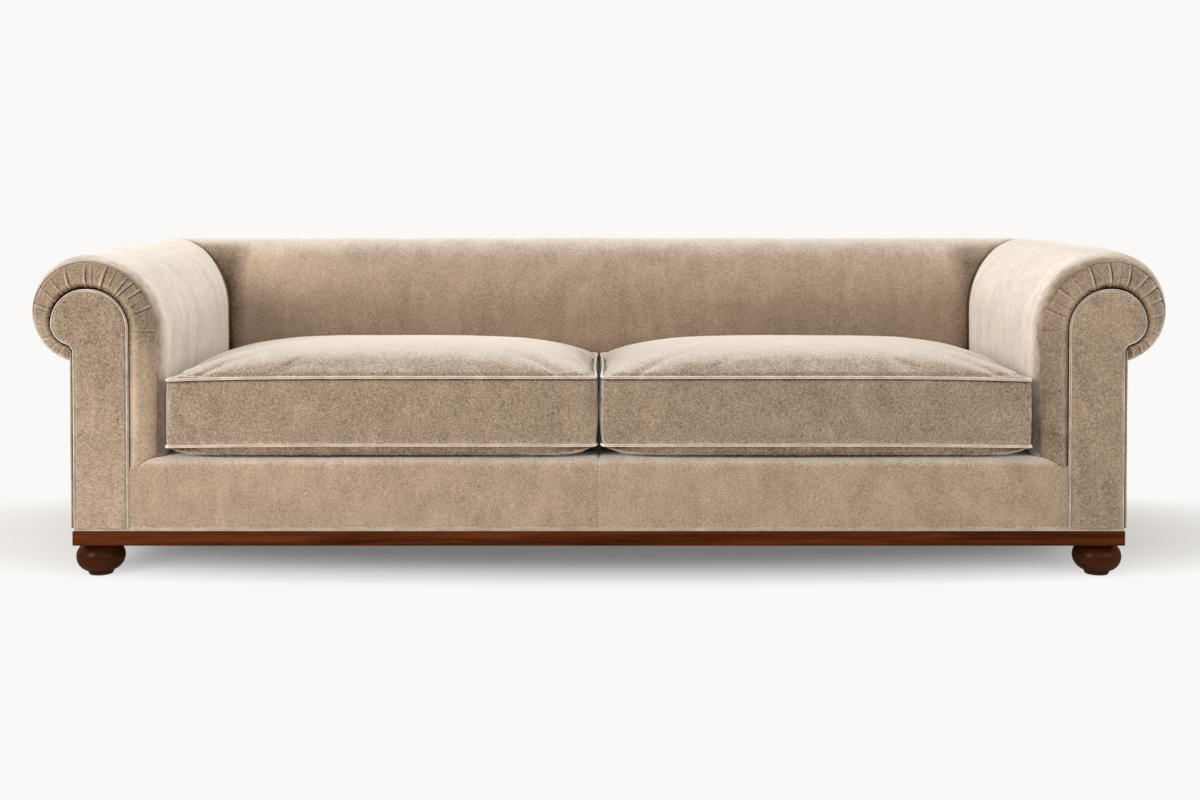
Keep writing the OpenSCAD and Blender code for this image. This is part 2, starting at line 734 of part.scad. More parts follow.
// Cushions, in the deck's slope: a crowned top and underside between two seams
cushion_w = inner_x - arm_clear - cushion_gap / 2;
cushion_x = (cushion_gap / 2) + cushion_w / 2;
seam_low = rail_r + gap + crown_bottom;
seam_top = seam_low + boxing_h;
cushion_start = setback - rail_r;
cushion_end = seat_d - rail_r - back_clear - (seam_top + welt_d) * sin(deck_pitch);
cushion_d = cushion_end - cushion_start;
cushion_y = (cushion_start + cushion_end) / 2;
welt_r = welt_d / 2;
form_w = cushion_w / 2 - welt_d - gap;
form_d = cushion_d / 2 - welt_d - gap;
boxing_bulge = 4;
corner_power = 8;
top_shape = [3.5, 3];
top_power = [0.7, 0.6];
low_shape = [5, 12];
low_power = [0.6, 0.4];
low_fullness = 1.15;
function fall(s, shape, power) = pow(max(0, 1 - pow(abs(s), shape)), power);
function plan(s, t, w, d) = [
    s * (w - draw_in * (1 - t * t) - corner_in * pow(abs(t), corner_power)),
    t * (d - draw_in * (1 - s * s) * (1 - t) / 2 - corner_in * pow(abs(s), corner_power))];
function spread(i, n) = sin(90 * (2 * i / n - 1));
function top_rise(s, t) = fall(s, top_shape.x, top_power.x) * fall(t, top_shape.y, top_power.y);
function low_drop(s, t) =
    min(1, low_fullness * fall(s, low_shape.x, low_power.x) * fall(t, low_shape.y, low_power.y));
function rim(nx, ny) = concat(
    [for (i = [0:nx - 1]) [i, 0]], [for (j = [0:ny - 1]) [nx, j]],
    [for (i = [nx:-1:1]) [i, ny]], [for (j = [ny:-1:1]) [0, j]]);
// Inset draws the whole form inwards, for the lining of the cover and for the core
module cushion_form(nx, ny, inset) {
    w = form_w - inset;
    d = form_d - inset;
    z_low = seam_low + inset / 2;
    z_top = seam_top - inset / 2;
    high = crown_top - 3 * inset / 2;
    deep = crown_bottom - 3 * inset / 2;
    border = rim(nx, ny);
    grid = (nx + 1) * (ny + 1);
    function up(i, j) = j * (nx + 1) + i;
    function down(i, j) = grid + j * (nx + 1) + i;
    function mid(k) = 2 * grid + k % len(border);
    top = [for (j = [0:ny], i = [0:nx]) let (s = spread(i, nx), t = spread(j, ny))
        concat(plan(s, t, w, d), z_top + high * top_rise(s, t))];
    bottom = [for (j = [0:ny], i = [0:nx]) let (s = spread(i, nx), t = spread(j, ny))
        concat(plan(s, t, w, d), z_low - deep * low_drop(s, t))];
    middle = [for (b = border) concat(
        plan(spread(b[0], nx), spread(b[1], ny), w + boxing_bulge, d + boxing_bulge), (z_low + z_top) / 2)];
    cells = [for (j = [0:ny - 1], i = [0:nx - 1]) each [
        [up(i, j), up(i + 1, j + 1), up(i + 1, j)], [up(i, j), up(i, j + 1), up(i + 1, j + 1)],
        [down(i, j), down(i + 1, j), down(i + 1, j + 1)], [down(i, j), down(i + 1, j + 1), down(i, j + 1)]]];
    walls = [for (k = [0:len(border) - 1]) let (a = border[k], b = border[(k + 1) % len(border)]) each [
        [up(a[0], a[1]), up(b[0], b[1]), mid(k + 1)], [up(a[0], a[1]), mid(k + 1), mid(k)],
        [mid(k), mid(k + 1), down(b[0], b[1])], [mid(k), down(b[0], b[1]), down(a[0], a[1])]]];
    polyhedron(points = concat(top, bottom, middle), faces = concat(cells, walls));
}
fine_steps = [18, 14];
coarse_steps = [10, 8];
module on_cushion(side) {
    on_deck() translate([side * cushion_x, cushion_y, 0]) children();
}
module cushion_cover(side) {
    on_cushion(side) difference() {
        cushion_form(fine_steps.x, fine_steps.y, 0);
        cushion_form(coarse_steps.x, coarse_steps.y, cover_t);
    }
}
module cushion_cover_left() {
    color(velvet) cushion_cover(-1);
}
module cushion_cover_right() {
    color(velvet) cushion_cover(1);
}
module cushion_core(side) {
    on_cushion(side) cushion_form(coarse_steps.x, coarse_steps.y, cover_t + gap);
}
module cushion_core_left() {
    color(foam) cushion_core(-1);
}
module cushion_core_right() {
    color(foam) cushion_core(1);
}
welt_steps = 5;
module cushion_piping(side) {
    path = [for (b = rim(fine_steps.x, fine_steps.y))
        let (s = spread(b[0], fine_steps.x), t = spread(b[1], fine_steps.y))
        plan(s, t, form_w + welt_r + gap, form_d + welt_r + gap)];
    for (z = [seam_low, seam_top]) on_cushion(side) translate([0, 0, z]) tube(path, welt_r, welt_steps, true);
}
module cushion_piping_left() {
    color(velvet_light) cushion_piping(-1);
}
module cushion_piping_right() {
    color(velvet_light) cushion_piping(1);
}

// Zips in the rear boxing, with their sliders
zip_side_in = 60;
zip_len = 2 * (form_w - zip_side_in);
zip_h = 24;
zip_t = 1.2;
zip_y = form_d + boxing_bulge + gap;
zip_z = (seam_low + seam_top) / 2;
slider_l = 12;
slider_h = 9;
slider_t = 2.2;
pull_l = 20;
pull_h = 5;
module cushion_zip(side) {
    on_cushion(side) translate([0, zip_y, zip_z])
        block([-zip_len / 2, 0, -zip_h / 2], [zip_len / 2, zip_t, zip_h / 2]);
}
module cushion_zip_left() {
    color(velvet) cushion_zip(-1);
}
module cushion_zip_right() {
    color(velvet) cushion_zip(1);
}
module zip_slider(side) {
    on_cushion(side) translate([-zip_len / 2 + slider_l, zip_y + zip_t + gap, zip_z]) {
        block([-slider_l / 2, 0, -slider_h / 2], [slider_l / 2, slider_t, slider_h / 2]);
        block([slider_l / 2, 0, -pull_h / 2], [slider_l / 2 + pull_l, slider_t / 2, pull_h / 2]);
    }
}
module zip_slider_left() {
    color("goldenrod") zip_slider(-1);
}
module zip_slider_right() {
    color("goldenrod") zip_slider(1);
}

foot_front_left();
foot_front_right();
foot_rear_left();
foot_rear_right();
foot_glides();
foot_bolts();
foot_tee_nuts();
plinth_front();
plinth_back();
plinth_left();
plinth_right();
front_rail();
back_rail();
side_rails();
centre_rails();
corner_blocks();
scroll_boards_left();
scroll_boards_right();
arm_top_rails();
back_ribs();
back_top_rail();
arm_board_left();
arm_board_right();
back_board();
seat_springs();
spring_clips();
spring_ties();
deck_pad();
deck_cover();
arm_pad_left();
arm_pad_right();
back_pad();
front_rail_pad();
arm_cover_left();
arm_cover_right();
back_cover();
arm_ruche_left();
arm_ruche_right();
arm_facing_left();
arm_facing_right();
facing_piping_left();
facing_piping_right();
outside_arm_cover_left();
outside_arm_cover_right();
outside_back_cover();
front_rail_cover_left();
front_rail_cover_right();
base_piping();
dust_cover();
cushion_cover_left();
cushion_core_left();
cushion_piping_left();
cushion_cover_right();
cushion_core_right();
cushion_piping_right();
cushion_zip_left();
cushion_zip_right();
zip_slider_left();
zip_slider_right();
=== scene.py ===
import bisect
import math

import bmesh
import bpy
from mathutils import Matrix, Vector, noise


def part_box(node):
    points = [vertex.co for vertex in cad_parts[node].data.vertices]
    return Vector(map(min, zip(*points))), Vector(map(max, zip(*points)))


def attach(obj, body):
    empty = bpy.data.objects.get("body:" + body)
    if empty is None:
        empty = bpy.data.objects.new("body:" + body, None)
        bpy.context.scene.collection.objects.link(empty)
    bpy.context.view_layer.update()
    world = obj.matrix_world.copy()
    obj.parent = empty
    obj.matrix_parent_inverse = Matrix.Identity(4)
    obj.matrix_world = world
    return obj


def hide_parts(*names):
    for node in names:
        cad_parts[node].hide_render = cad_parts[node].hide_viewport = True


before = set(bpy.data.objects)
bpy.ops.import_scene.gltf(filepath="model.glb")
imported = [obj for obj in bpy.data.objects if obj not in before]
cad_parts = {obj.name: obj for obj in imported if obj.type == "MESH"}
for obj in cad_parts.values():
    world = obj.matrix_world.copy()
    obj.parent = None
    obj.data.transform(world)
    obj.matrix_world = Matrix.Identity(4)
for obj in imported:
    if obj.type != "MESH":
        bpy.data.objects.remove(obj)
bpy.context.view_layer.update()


# Feet: four buns turned from walnut, polished and lacquered, each with a flat ball, a short neck and a
# felt-faced glide under it. A bolt in the top screws up into a nut in the corner block.
def fed(tree, node, inputs):
    """Gives a shader node's inputs a plain value each, or what another node gives."""
    for socket, value in inputs.items():
        if isinstance(value, bpy.types.NodeSocket):
            tree.links.new(value, node.inputs[socket])
        else:
            node.inputs[socket].default_value = value
    return node


def add_node(tree, kind, inputs, **settings):
    node = tree.nodes.new("ShaderNode" + kind)
    for setting, value in settings.items():
        setattr(node, setting, value)
    return fed(tree, node, inputs)


def set_surface(finish, inputs):
    fed(finish.node_tree, finish.node_tree.nodes["Principled BSDF"], inputs)


def new_finish(name, roughness):
    finish = bpy.data.materials.new(name)
    finish.use_nodes = True
    set_surface(finish, {"Roughness": roughness})
    return finish


def own_place(tree):
    return add_node(tree, "TexCoord", {}).outputs["Object"]


def pattern(finish, scale, detail=2.0, roughness=0.5, distortion=0.0):
    """Noise in the piece's own place, drawn out along an axis where its scale there is small."""
    tree = finish.node_tree
    stretched = add_node(tree, "Mapping", {"Vector": own_place(tree), "Scale": scale})
    return add_node(tree, "TexNoise", {"Vector": stretched.outputs["Vector"], "Scale": 1.0, "Detail": detail,
                                       "Roughness": roughness, "Distortion": distortion}).outputs[0]


def ranged(finish, value, low, high, to_low=0.0, to_high=1.0, way="LINEAR"):
    """Takes the values from low to high to another range, and stays at its ends beyond them."""
    limits = {"Value": value, "From Min": low, "From Max": high, "To Min": to_low, "To Max": to_high}
    return add_node(finish.node_tree, "MapRange", limits, interpolation_type=way).outputs["Result"]


def worked_out(tree, operation, *values):
    return add_node(tree, "Math", dict(enumerate(values)), operation=operation).outputs[0]


def summed(finish, parts):
    """Several patterns added together, each times its own weight."""
    total = 0.0
    for value, weight in parts:
        total = worked_out(finish.node_tree, "MULTIPLY_ADD", value, weight, total)
    return total


def blended(finish, value, dark, light):
    """Mixes two colours, each a plain colour or what another node gives."""
    ends = [end if isinstance(end, bpy.types.NodeSocket) else (*end, 1) for end in (dark, light)]
    return add_node(finish.node_tree, "Mix", {0: value, 6: ends[0], 7: ends[1]},
                    data_type="RGBA", clamp_factor=False).outputs[2]


def coloured(finish, value, dark, light):
    set_surface(finish, {"Base Color": blended(finish, value, dark, light)})


def embossed(finish, value, depth, strength=1.0):
    """Relief of a given depth in metres."""
    relief = add_node(finish.node_tree, "Bump", {"Strength": strength, "Distance": depth, "Height": value})
    set_surface(finish, {"Normal": relief.outputs["Normal"]})


def rough_by(finish, value, low, high):
    set_surface(finish, {"Roughness": ranged(finish, value, 0.3, 0.7, low, high)})


def drawn_out(finish, grain_axis, with_grain, across_grain, detail, roughness, distortion=0.0):
    """A pattern stretched along the grain of the wood."""
    scale = tuple(with_grain if axis == grain_axis else across_grain for axis in range(3))
    return pattern(finish, scale, detail, roughness, distortion)


def lacquered_walnut(name, grain_axis, dark, light, gloss=0.0, gloss_roughness=0.10):
    """Long growth bands and short dark pores, both drawn out along the grain, under a clear lacquer."""
    finish = new_finish(name, 0.3)
    bands = ranged(finish, drawn_out(finish, grain_axis, 2.0, 46.0, 4.0, 0.6, 0.8), 0.32, 0.68)
    pores = drawn_out(finish, grain_axis, 16.0, 620.0, 2.0, 0.5)
    dark_pores = ranged(finish, pores, 0.35, 0.65)
    coloured(finish, summed(finish, ((bands, 0.8), (dark_pores, 0.2))), dark, light)
    embossed(finish, pores, 0.00015, 0.35)
    rough_by(finish, pores, 0.34, 0.24)
    set_surface(finish, {"Specular IOR Level": 0.0, "Coat Weight": gloss, "Coat Roughness": gloss_roughness})
    return finish


def fibrous(name, roughness, fineness, detail, unevenness, dark, light, depth):
    """Matted or woven fibres, where one fine pattern gives both the colour and the relief."""
    finish = new_finish(name, roughness)
    fibres = pattern(finish, fineness, detail, unevenness)
    coloured(finish, fibres, dark, light)
    embossed(finish, fibres, depth)
    return finish


def dress(nodes, finish):
    """A CAD piece whose shape is right keeps it and takes this finish."""
    for node in nodes:
        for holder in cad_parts[node].material_slots:
            holder.material = finish


foot_walnut = lacquered_walnut("foot_walnut", 0, (0.025, 0.0062, 0.0013), (0.068, 0.0168, 0.0036), 0.11, 0.22)
dress(("foot_front_left", "foot_front_right", "foot_rear_left", "foot_rear_right"), foot_walnut)
glide_felt = fibrous("glide_felt", 0.95, (900, 900, 900), 3.0, 0.7,
                     (0.012, 0.011, 0.010), (0.055, 0.050, 0.046), 0.0004)
dress(("foot_glides",), glide_felt)


def plated(name, dark, light, brushed):
    """Bright metal with fine drawn lines and a slightly uneven polish."""
    finish = new_finish(name, 0.3)
    lines = pattern(finish, brushed, 2.0, 0.6)
    coloured(finish, lines, dark, light)
    embossed(finish, lines, 0.0001, 0.3)
    rough_by(finish, lines, 0.22, 0.40)
    set_surface(finish, {"Metallic": 1.0})
    return finish


zinc_plate = plated("zinc_plate", (0.46, 0.47, 0.48), (0.66, 0.67, 0.66), (220, 220, 1600))
dress(("foot_bolts", "foot_tee_nuts"), zinc_plate)


# Plinth: four walnut boards on edge, mitred at the corners and screwed up into the base frame.
# Their long edges are eased with a plane before the lacquer goes on.
eased_edge = 0.0016


def merged_copy(node, flat=False):
    """A CAD node's mesh with its loose triangles joined, and each flat face made whole if asked."""
    made = bmesh.new()
    made.from_mesh(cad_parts[node].data)
    bmesh.ops.remove_doubles(made, verts=made.verts[:], dist=0.00001)
    if flat:
        bmesh.ops.dissolve_limit(made, angle_limit=0.01, verts=made.verts[:], edges=made.edges[:])
    return made


def ease(made, edges, offset, segments):
    bmesh.ops.bevel(made, geom=edges, offset=offset, segments=segments, profile=0.5,
                    affect="EDGES", material=-1)


def placed(name, shape, finish, body, material_slot, *nodes):
    """Turns a bmesh or a mesh into a piece that rides on a body and stands for its CAD nodes."""
    if isinstance(shape, bmesh.types.BMesh):
        mesh = bpy.data.meshes.new(name)
        shape.to_mesh(mesh)
        shape.free()
    else:
        mesh = shape
    for face in mesh.polygons:
        face.use_smooth = True
    mesh.materials.clear()
    mesh.materials.append(finish)
    piece = bpy.data.objects.new(name, mesh)
    bpy.context.scene.collection.objects.link(piece)
    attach(piece, body)
    if nodes:
        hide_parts(*nodes)
    return piece


def eased_board(node, along, finish):
    board = merged_copy(node, flat=True)
    long_edges = [e for e in board.edges
                  if abs((e.verts[0].co - e.verts[1].co).normalized()[along]) > 0.99]
    ease(board, long_edges, eased_edge, 3)
    piece = placed(node + "_board", board, finish, "root", "dark_wood", node)
    keep_corners = piece.modifiers.new("Corners", "EDGE_SPLIT")
    keep_corners.split_angle = math.radians(50)


plinth_dark, plinth_light = (0.018, 0.0045, 0.0014), (0.130, 0.0320, 0.0100)
long_walnut = lacquered_walnut("plinth_walnut_long", 0, plinth_dark, plinth_light)
end_walnut = lacquered_walnut("plinth_walnut_end", 1, plinth_dark, plinth_light)
for node in ("plinth_front", "plinth_back"):
    eased_board(node, 0, long_walnut)
for node in ("plinth_left", "plinth_right"):
    eased_board(node, 1, end_walnut)


# Frame: beech rails and blocks, plywood ribs and scroll boards, glued and screwed, with thin boards
# bent over the ribs to carry the foam. None of it shows on the finished sofa.
def sawn_timber(name, grain_axis, dark, light):
    finish = new_finish(name, 0.62)
    bands = drawn_out(finish, grain_axis, 1.6, 38.0, 4.0, 0.6, 0.6)
    fibres = drawn_out(finish, grain_axis, 12.0, 520.0, 2.0, 0.6)
    coloured(finish, summed(finish, ((bands, 0.7), (fibres, 0.3))), dark, light)
    embossed(finish, fibres, 0.0002, 0.5)
    rough_by(finish, fibres, 0.72, 0.55)
    return finish


beech_long = sawn_timber("beech_long", 0, (0.42, 0.27, 0.14), (0.70, 0.52, 0.32))
beech_deep = sawn_timber("beech_deep", 1, (0.42, 0.27, 0.14), (0.70, 0.52, 0.32))
plywood_up = sawn_timber("plywood_up", 2, (0.46, 0.31, 0.17), (0.74, 0.56, 0.36))
board_sheet = sawn_timber("board_sheet", 1, (0.22, 0.13, 0.06), (0.40, 0.27, 0.15))
dress(("front_rail", "back_rail", "back_top_rail"), beech_long)
dress(("side_rails", "centre_rails", "corner_blocks", "arm_top_rails"), beech_deep)
dress(("scroll_boards_left", "scroll_boards_right", "back_ribs"), plywood_up)
dress(("arm_board_left", "arm_board_right", "back_board"), board_sheet)


# Springs: twelve zigzag springs of blued wire run from rail to rail in steel clips, tied across by two
# wires so that they share the load.
spring_blue = plated("spring_blue", (0.10, 0.11, 0.12), (0.24, 0.25, 0.27), (240, 900, 240))
dress(("seat_springs", "spring_ties"), spring_blue)
dress(("spring_clips",), zinc_plate)


# Padding: sheets of cream upholstery foam glued over the boards, the rail and the springs, and a block
# of firmer foam inside each cushion. The covers hide all of it and press it in along their seams.
front_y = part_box("plinth_front")[0].y
# How far the covers press each piece of foam in
pads = {"arm_pad_left": 0.005, "arm_pad_right": 0.005, "back_pad": 0.005, "front_rail_pad": 0.0025,
        "cushion_core_left": 0.009, "cushion_core_right": 0.009}
arm_pad_front, arm_pad_trim = 0.020, 0.012


def raised(made, lift):
    """Moves each point along its own normal."""
    moves = [(v, v.normal * lift(v.co)) for v in made.verts]
    for v, move in moves:
        v.co += move
    made.normal_update()


def open_cell_foam(name, dark, light):
    finish = new_finish(name, 0.9)
    cells = pattern(finish, (700, 700, 700), 2.0, 0.5)
    clouds = pattern(finish, (9, 9, 9), 2.0, 0.5)
    coloured(finish, summed(finish, ((cells, 0.6), (clouds, 0.4))), dark, light)
    embossed(finish, cells, 0.0006)
    return finish


cream_foam = open_cell_foam("cream_foam", (0.62, 0.54, 0.34), (0.86, 0.80, 0.62))
dress(("deck_pad",), cream_foam)
for node, pressed in pads.items():
    foam = merged_copy(node)
    foam.normal_update()
    raised(foam, lambda at: -pressed)
    for v in foam.verts:
        if node.startswith("arm_pad") and v.co.y < front_y + arm_pad_front:
            v.co.y += arm_pad_trim
    body = "seat_" + node.replace("_core", "") if "cushion" in node else "root"
    placed("foam_" + node, foam, cream_foam, body, "foam", node)


# Arm covers: one piece of velvet a side, pulled over the foam from the seat up the inner face, over the
# crown and round the roll, and tacked under it. It starts at the seam of the ruched band and is mitred
# to the back cover.
velvet_thick = 0.002
inner_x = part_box("arm_cover_right")[0].x
back_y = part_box("back_cover")[0].y
panel_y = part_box("outside_back_cover")[1].y
arm_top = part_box("back_cover")[1].z
wall = 0.187
crown_radius, roll_radius = 0.168, 0.118
nose_width, nose_depth = 0.065, 0.075
rail_radius, rail_height = 0.028, 0.231
edge_y = front_y + rail_radius
deck_slope = math.radians(2.2)
seam_angle = 53
cover_rest = 0.0011

scroll_crown, scroll_shoulder, scroll_tip = 0.088, 0.075, 0.0475
scroll_u, scroll_z = nose_width + scroll_crown, arm_top - 0.066
tip_u, tip_z, tip_turn = scroll_u + scroll_shoulder - scroll_tip, scroll_z - scroll_shoulder, 75
crown_marks, shoulder_marks, last_mark = 9, 16, 22
roll_turn = -math.degrees(math.acos((wall - crown_radius) / roll_radius))
both_sides = ((-1, "left"), (1, "right"))


def limited(value):
    return max(0.0, min(1.0, value))


def bell(distance, width):
    """1 in the middle, falling smoothly to nothing about two widths away."""
    return math.exp(-(distance / width) ** 2)


def seat_top(y):
    """Height of the deck, or of the rail's rounded edge, at a distance from the front."""
    if y < edge_y:
        return rail_height + math.sqrt(max(0.0, rail_radius ** 2 - (edge_y - y) ** 2))
    return rail_height + rail_radius / math.cos(deck_slope) - (y - edge_y) * math.tan(deck_slope)


def on_arc(u, z, radius, angle):
    turn = math.radians(angle)
    return Vector((u + radius * math.cos(turn), z + radius * math.sin(turn)))


def crown_turn(mark):
    return 180 - 90 * (mark - 1) / (crown_marks - 1)


def roll_outline(mark, low):
    """The arm's full section: marks 0 to 1 climb the inner face, then the crown, then the roll."""
    if mark < 1:
        return Vector((0, low + (arm_top - crown_radius - low) * mark))
    if mark < crown_marks:
        return on_arc(crown_radius, arm_top - crown_radius, crown_radius, crown_turn(mark))
    share = (mark - crown_marks) / (last_mark - crown_marks)
    return on_arc(crown_radius, arm_top - roll_radius, roll_radius, 90 + (roll_turn - 90) * share)


def scroll_outline(mark, low):
    """The facing's outline, with the same marks."""
    if mark < 1:
        return Vector((nose_width, low + (scroll_z - scroll_crown - low) * mark))
    if mark < crown_marks:
        return on_arc(scroll_u, scroll_z - scroll_crown, scroll_crown, crown_turn(mark))
    if mark < shoulder_marks:
        share = (mark - crown_marks) / (shoulder_marks - crown_marks)
        return on_arc(scroll_u, tip_z, scroll_shoulder, 90 - 90 * share)
    share = (mark - shoulder_marks) / (last_mark - shoulder_marks)
    return on_arc(tip_u, tip_z, scroll_tip, -tip_turn * share)


def arm_point(mark, turn, side):
    """A point of the rounded arm front: turn 0 lies at the facing and 90 where the full section starts."""
    share = math.sin(math.radians(turn))
    y = front_y + nose_depth * (1 - math.cos(math.radians(turn)))
    low = seat_top(y) + cover_rest
    u, z = scroll_outline(mark, low) * (1 - share) + roll_outline(mark, low) * share
    return Vector((side * (inner_x + u), y, z))


def run_along(points):
    """How far along a line each of its points lies."""
    run = [0.0]
    for before, after in zip(points, points[1:]):
        run.append(run[-1] + (after - before).length)
    return run


def found_on(run, want):
    """The step of a line in which a distance falls, and the part of that step before it."""
    at = min(max(bisect.bisect_left(run, want), 1), len(run) - 1)
    return at, (want - run[at - 1]) / max(run[at] - run[at - 1], 1e-9)


def even_marks(outline, first, last, count, steps=600, low=0.26):
    """Marks that are evenly far apart along an outline."""
    fine = [first + (last - first) * i / steps for i in range(steps + 1)]
    run = run_along([outline(mark, low) for mark in fine])
    marks = []
    for i in range(count + 1):
        at, part = found_on(run, run[-1] * i / count)
        marks.append(fine[at - 1] + (fine[at] - fine[at - 1]) * part)
    return marks


def panel(columns, rows, place, core):
    """A sheet laid over its form: place gives each crossing's point, alone or with its painted light and
    shade there, and its faces look away from core."""
    made = bmesh.new()
    painted_light = made.verts.layers.float.new("painted_light")
    bmesh.ops.create_grid(made, x_segments=columns, y_segments=rows, size=0.5)
    for v in made.verts:
        spot = place(round((v.co.x + 0.5) * columns), round((v.co.y + 0.5) * rows))
        v.co, v[painted_light] = spot if isinstance(spot, tuple) else (spot, 0.0)
    made.normal_update()
    outward = sum((f.calc_center_median() - Vector(core)).dot(f.normal) * f.calc_area() for f in made.faces)
    if outward < 0:
        bmesh.ops.reverse_faces(made, faces=made.faces[:])
        made.normal_update()
    return made


def drape(at, scale, height, seed):
    """Slow swells, as foam and wadding leave under a cover."""
    return noise.noise(Vector((at.x + seed, at.y - seed, at.z + 2 * seed)) * scale) * height


def backed(piece, thickness=velvet_thick):
    lining = piece.modifiers.new("Thickness", "SOLIDIFY")
    lining.thickness = thickness
    lining.offset = -1
    return piece


def covering(name, shape, finish, node, thickness=velvet_thick):
    """A sheet of velvet on the sofa itself, in place of one CAD cover."""
    return backed(placed("velvet_" + name, shape, finish, "root", "velvet", node), thickness)


def painted_light_tone(finish):
    """Painted light and shade kept in the mesh: above zero a painted highlight, below it painted shade."""
    return add_node(finish.node_tree, "Attribute", {}, attribute_name="painted_light").outputs["Fac"]


def painted_light_along(finish, axis, low, high, to_low, to_high, mirrored=False):
    """Painted light or shade that changes along one axis of the sofa, or both ways from its middle."""
    tree = finish.node_tree
    value = add_node(tree, "SeparateXYZ", {0: own_place(tree)}).outputs[axis]
    if mirrored:
        value = worked_out(tree, "ABSOLUTE", value)
    return ranged(finish, value, low, high, to_low, to_high)


def lifted_by_painted_sheen(finish, value, sheen_paint, ragged, start, full, share, *fade):
    """A painted sheen: from start to full, as the surface turns away, the colour goes over to a share of a
    pale sheen colour, unevenly where the pile is ragged, more on painted highlights and less in painted
    shade, and less where it fades."""
    tree = finish.node_tree
    plain = tree.nodes["Principled BSDF"].inputs["Base Color"].links[0].from_socket
    turned = add_node(tree, "LayerWeight", {"Blend": 0.5}).outputs["Facing"]
    unevenness = ranged(finish, value, 0.0, 1.0, -0.5, 0.5)
    uneven = summed(finish, ((turned, 1.0), (unevenness, ragged), (painted_light_tone(finish), 0.5)))
    risen = ranged(finish, uneven, start, full, 0.0, share, way="SMOOTHSTEP")
    if fade:
        risen = worked_out(tree, "MULTIPLY", risen, painted_light_along(finish, *fade))
    pale = blended(finish, value, [0.82 * tone for tone in sheen_paint], [1.12 * tone for tone in sheen_paint])
    set_surface(finish, {"Base Color": blended(finish, risen, plain, pale)})


# Velvet colours, and the pale colour of the painted sheen
velvet_dark, velvet_light = Vector((0.170, 0.117, 0.077)), Vector((0.475, 0.355, 0.260))
painted_sheen_colour = Vector((0.86, 0.775, 0.69))


def velvet(name, streaks, painted_level=1.0, painted_ramps=(), sheen=(0.20, 0.85, 0.70), speckle=1.0, brush=0.18,
           sheen_paint=1.0, ragged=0.24, grain=(170, 170, 170)):
    """Short cut pile: soft blotches where hands brushed it, streaks along the nap and a fine speckle.
    A painted level and painted ramps along an axis darken or lighten it as painted light and shade, and sheen
    says where a painted sheen pales it."""
    finish = new_finish(name, 0.8)
    fine_grain = tuple(1.76 * fineness for fineness in grain)
    blotches = ranged(finish, pattern(finish, (13, 13, 13), 4.0, 0.62, 0.7), 0.30, 0.70)
    brushed = ranged(finish, pattern(finish, streaks, 3.0, 0.55, 0.4), 0.30, 0.70)
    mottles = ranged(finish, pattern(finish, grain, 3.0, 0.80), 0.32, 0.68, -0.5, 0.5)
    pile = ranged(finish, pattern(finish, fine_grain, 1.0, 0.5), 0.30, 0.70, -0.5, 0.5)
    middle = ranged(finish, blotches, -1, 0, 0, 1)
    nap = summed(finish, ((blotches, 0.22), (brushed, brush), (mottles, 0.42 * speckle),
                          (pile, 0.50 * speckle), (middle, 0.39 - brush / 2)))
    toned = summed(finish, [(nap, 1.0), (painted_light_tone(finish), 1.0)]
                   + [(painted_light_along(finish, *values), 1.0) for values in painted_ramps])
    coloured(finish, ranged(finish, toned, -0.5, 1.5, -0.5, 1.5), velvet_dark * painted_level, velvet_light * painted_level)
    relief = summed(finish, ((blotches, 0.4), (brushed, 0.5), (mottles, 0.45), (pile, 0.25)))
    embossed(finish, relief, 0.0010, 0.6)
    lifted_by_painted_sheen(finish, nap, painted_sheen_colour * sheen_paint, ragged, *sheen)
    set_surface(finish, {"Specular IOR Level": 0.12, "Sheen Weight": 0.7, "Sheen Roughness": 0.32,
                         "Sheen Tint": (1.0, 0.93, 0.86, 1)})
    return finish


# Painted shade low on the inner face beside the cushions, and a painted sheen that fades over the outer roll
arm_velvet = velvet("arm_velvet", (5, 24, 5), painted_ramps=((2, 0.32, 0.46, -0.35, 0.0),), speckle=0.7, brush=0.42,
                    sheen=(0.20, 0.80, 0.97, 0, 1.03, 1.13, 1.0, 0.40, True), sheen_paint=1.10, ragged=0.10,
                    grain=(34, 60, 34))
# In the photograph the right arm is stuffed fuller along its top than the left
arm_stuffing = {-1: 0.0, 1: 0.010}
stuffed_from, stuffed_over = 0.54, 0.12
scroll_from, scroll_over = 0.46, 0.07
mitre_depth, mitre_width = 0.0030, 0.006
arm_columns, arm_nose_rows, arm_rows = 120, 10, 110
arm_marks = even_marks(roll_outline, 0, last_mark, arm_columns)


def arm_cover_point(side, i, j):
    mark = arm_marks[i]
    if j <= arm_nose_rows:
        return arm_point(mark, seam_angle + (90 - seam_angle) * j / arm_nose_rows, side)
    start = arm_point(mark, 90, side)
    u, z = roll_outline(mark, seat_top(back_y) + cover_rest)
    share = (j - arm_nose_rows) / (arm_rows - arm_nose_rows)
    return start.lerp(Vector((side * (inner_x + u), back_y + u, z)), share)


def beside_seam(distance, depth, width):
    """How far a cover sinks next to a seam."""
    return -depth * bell(distance, width)


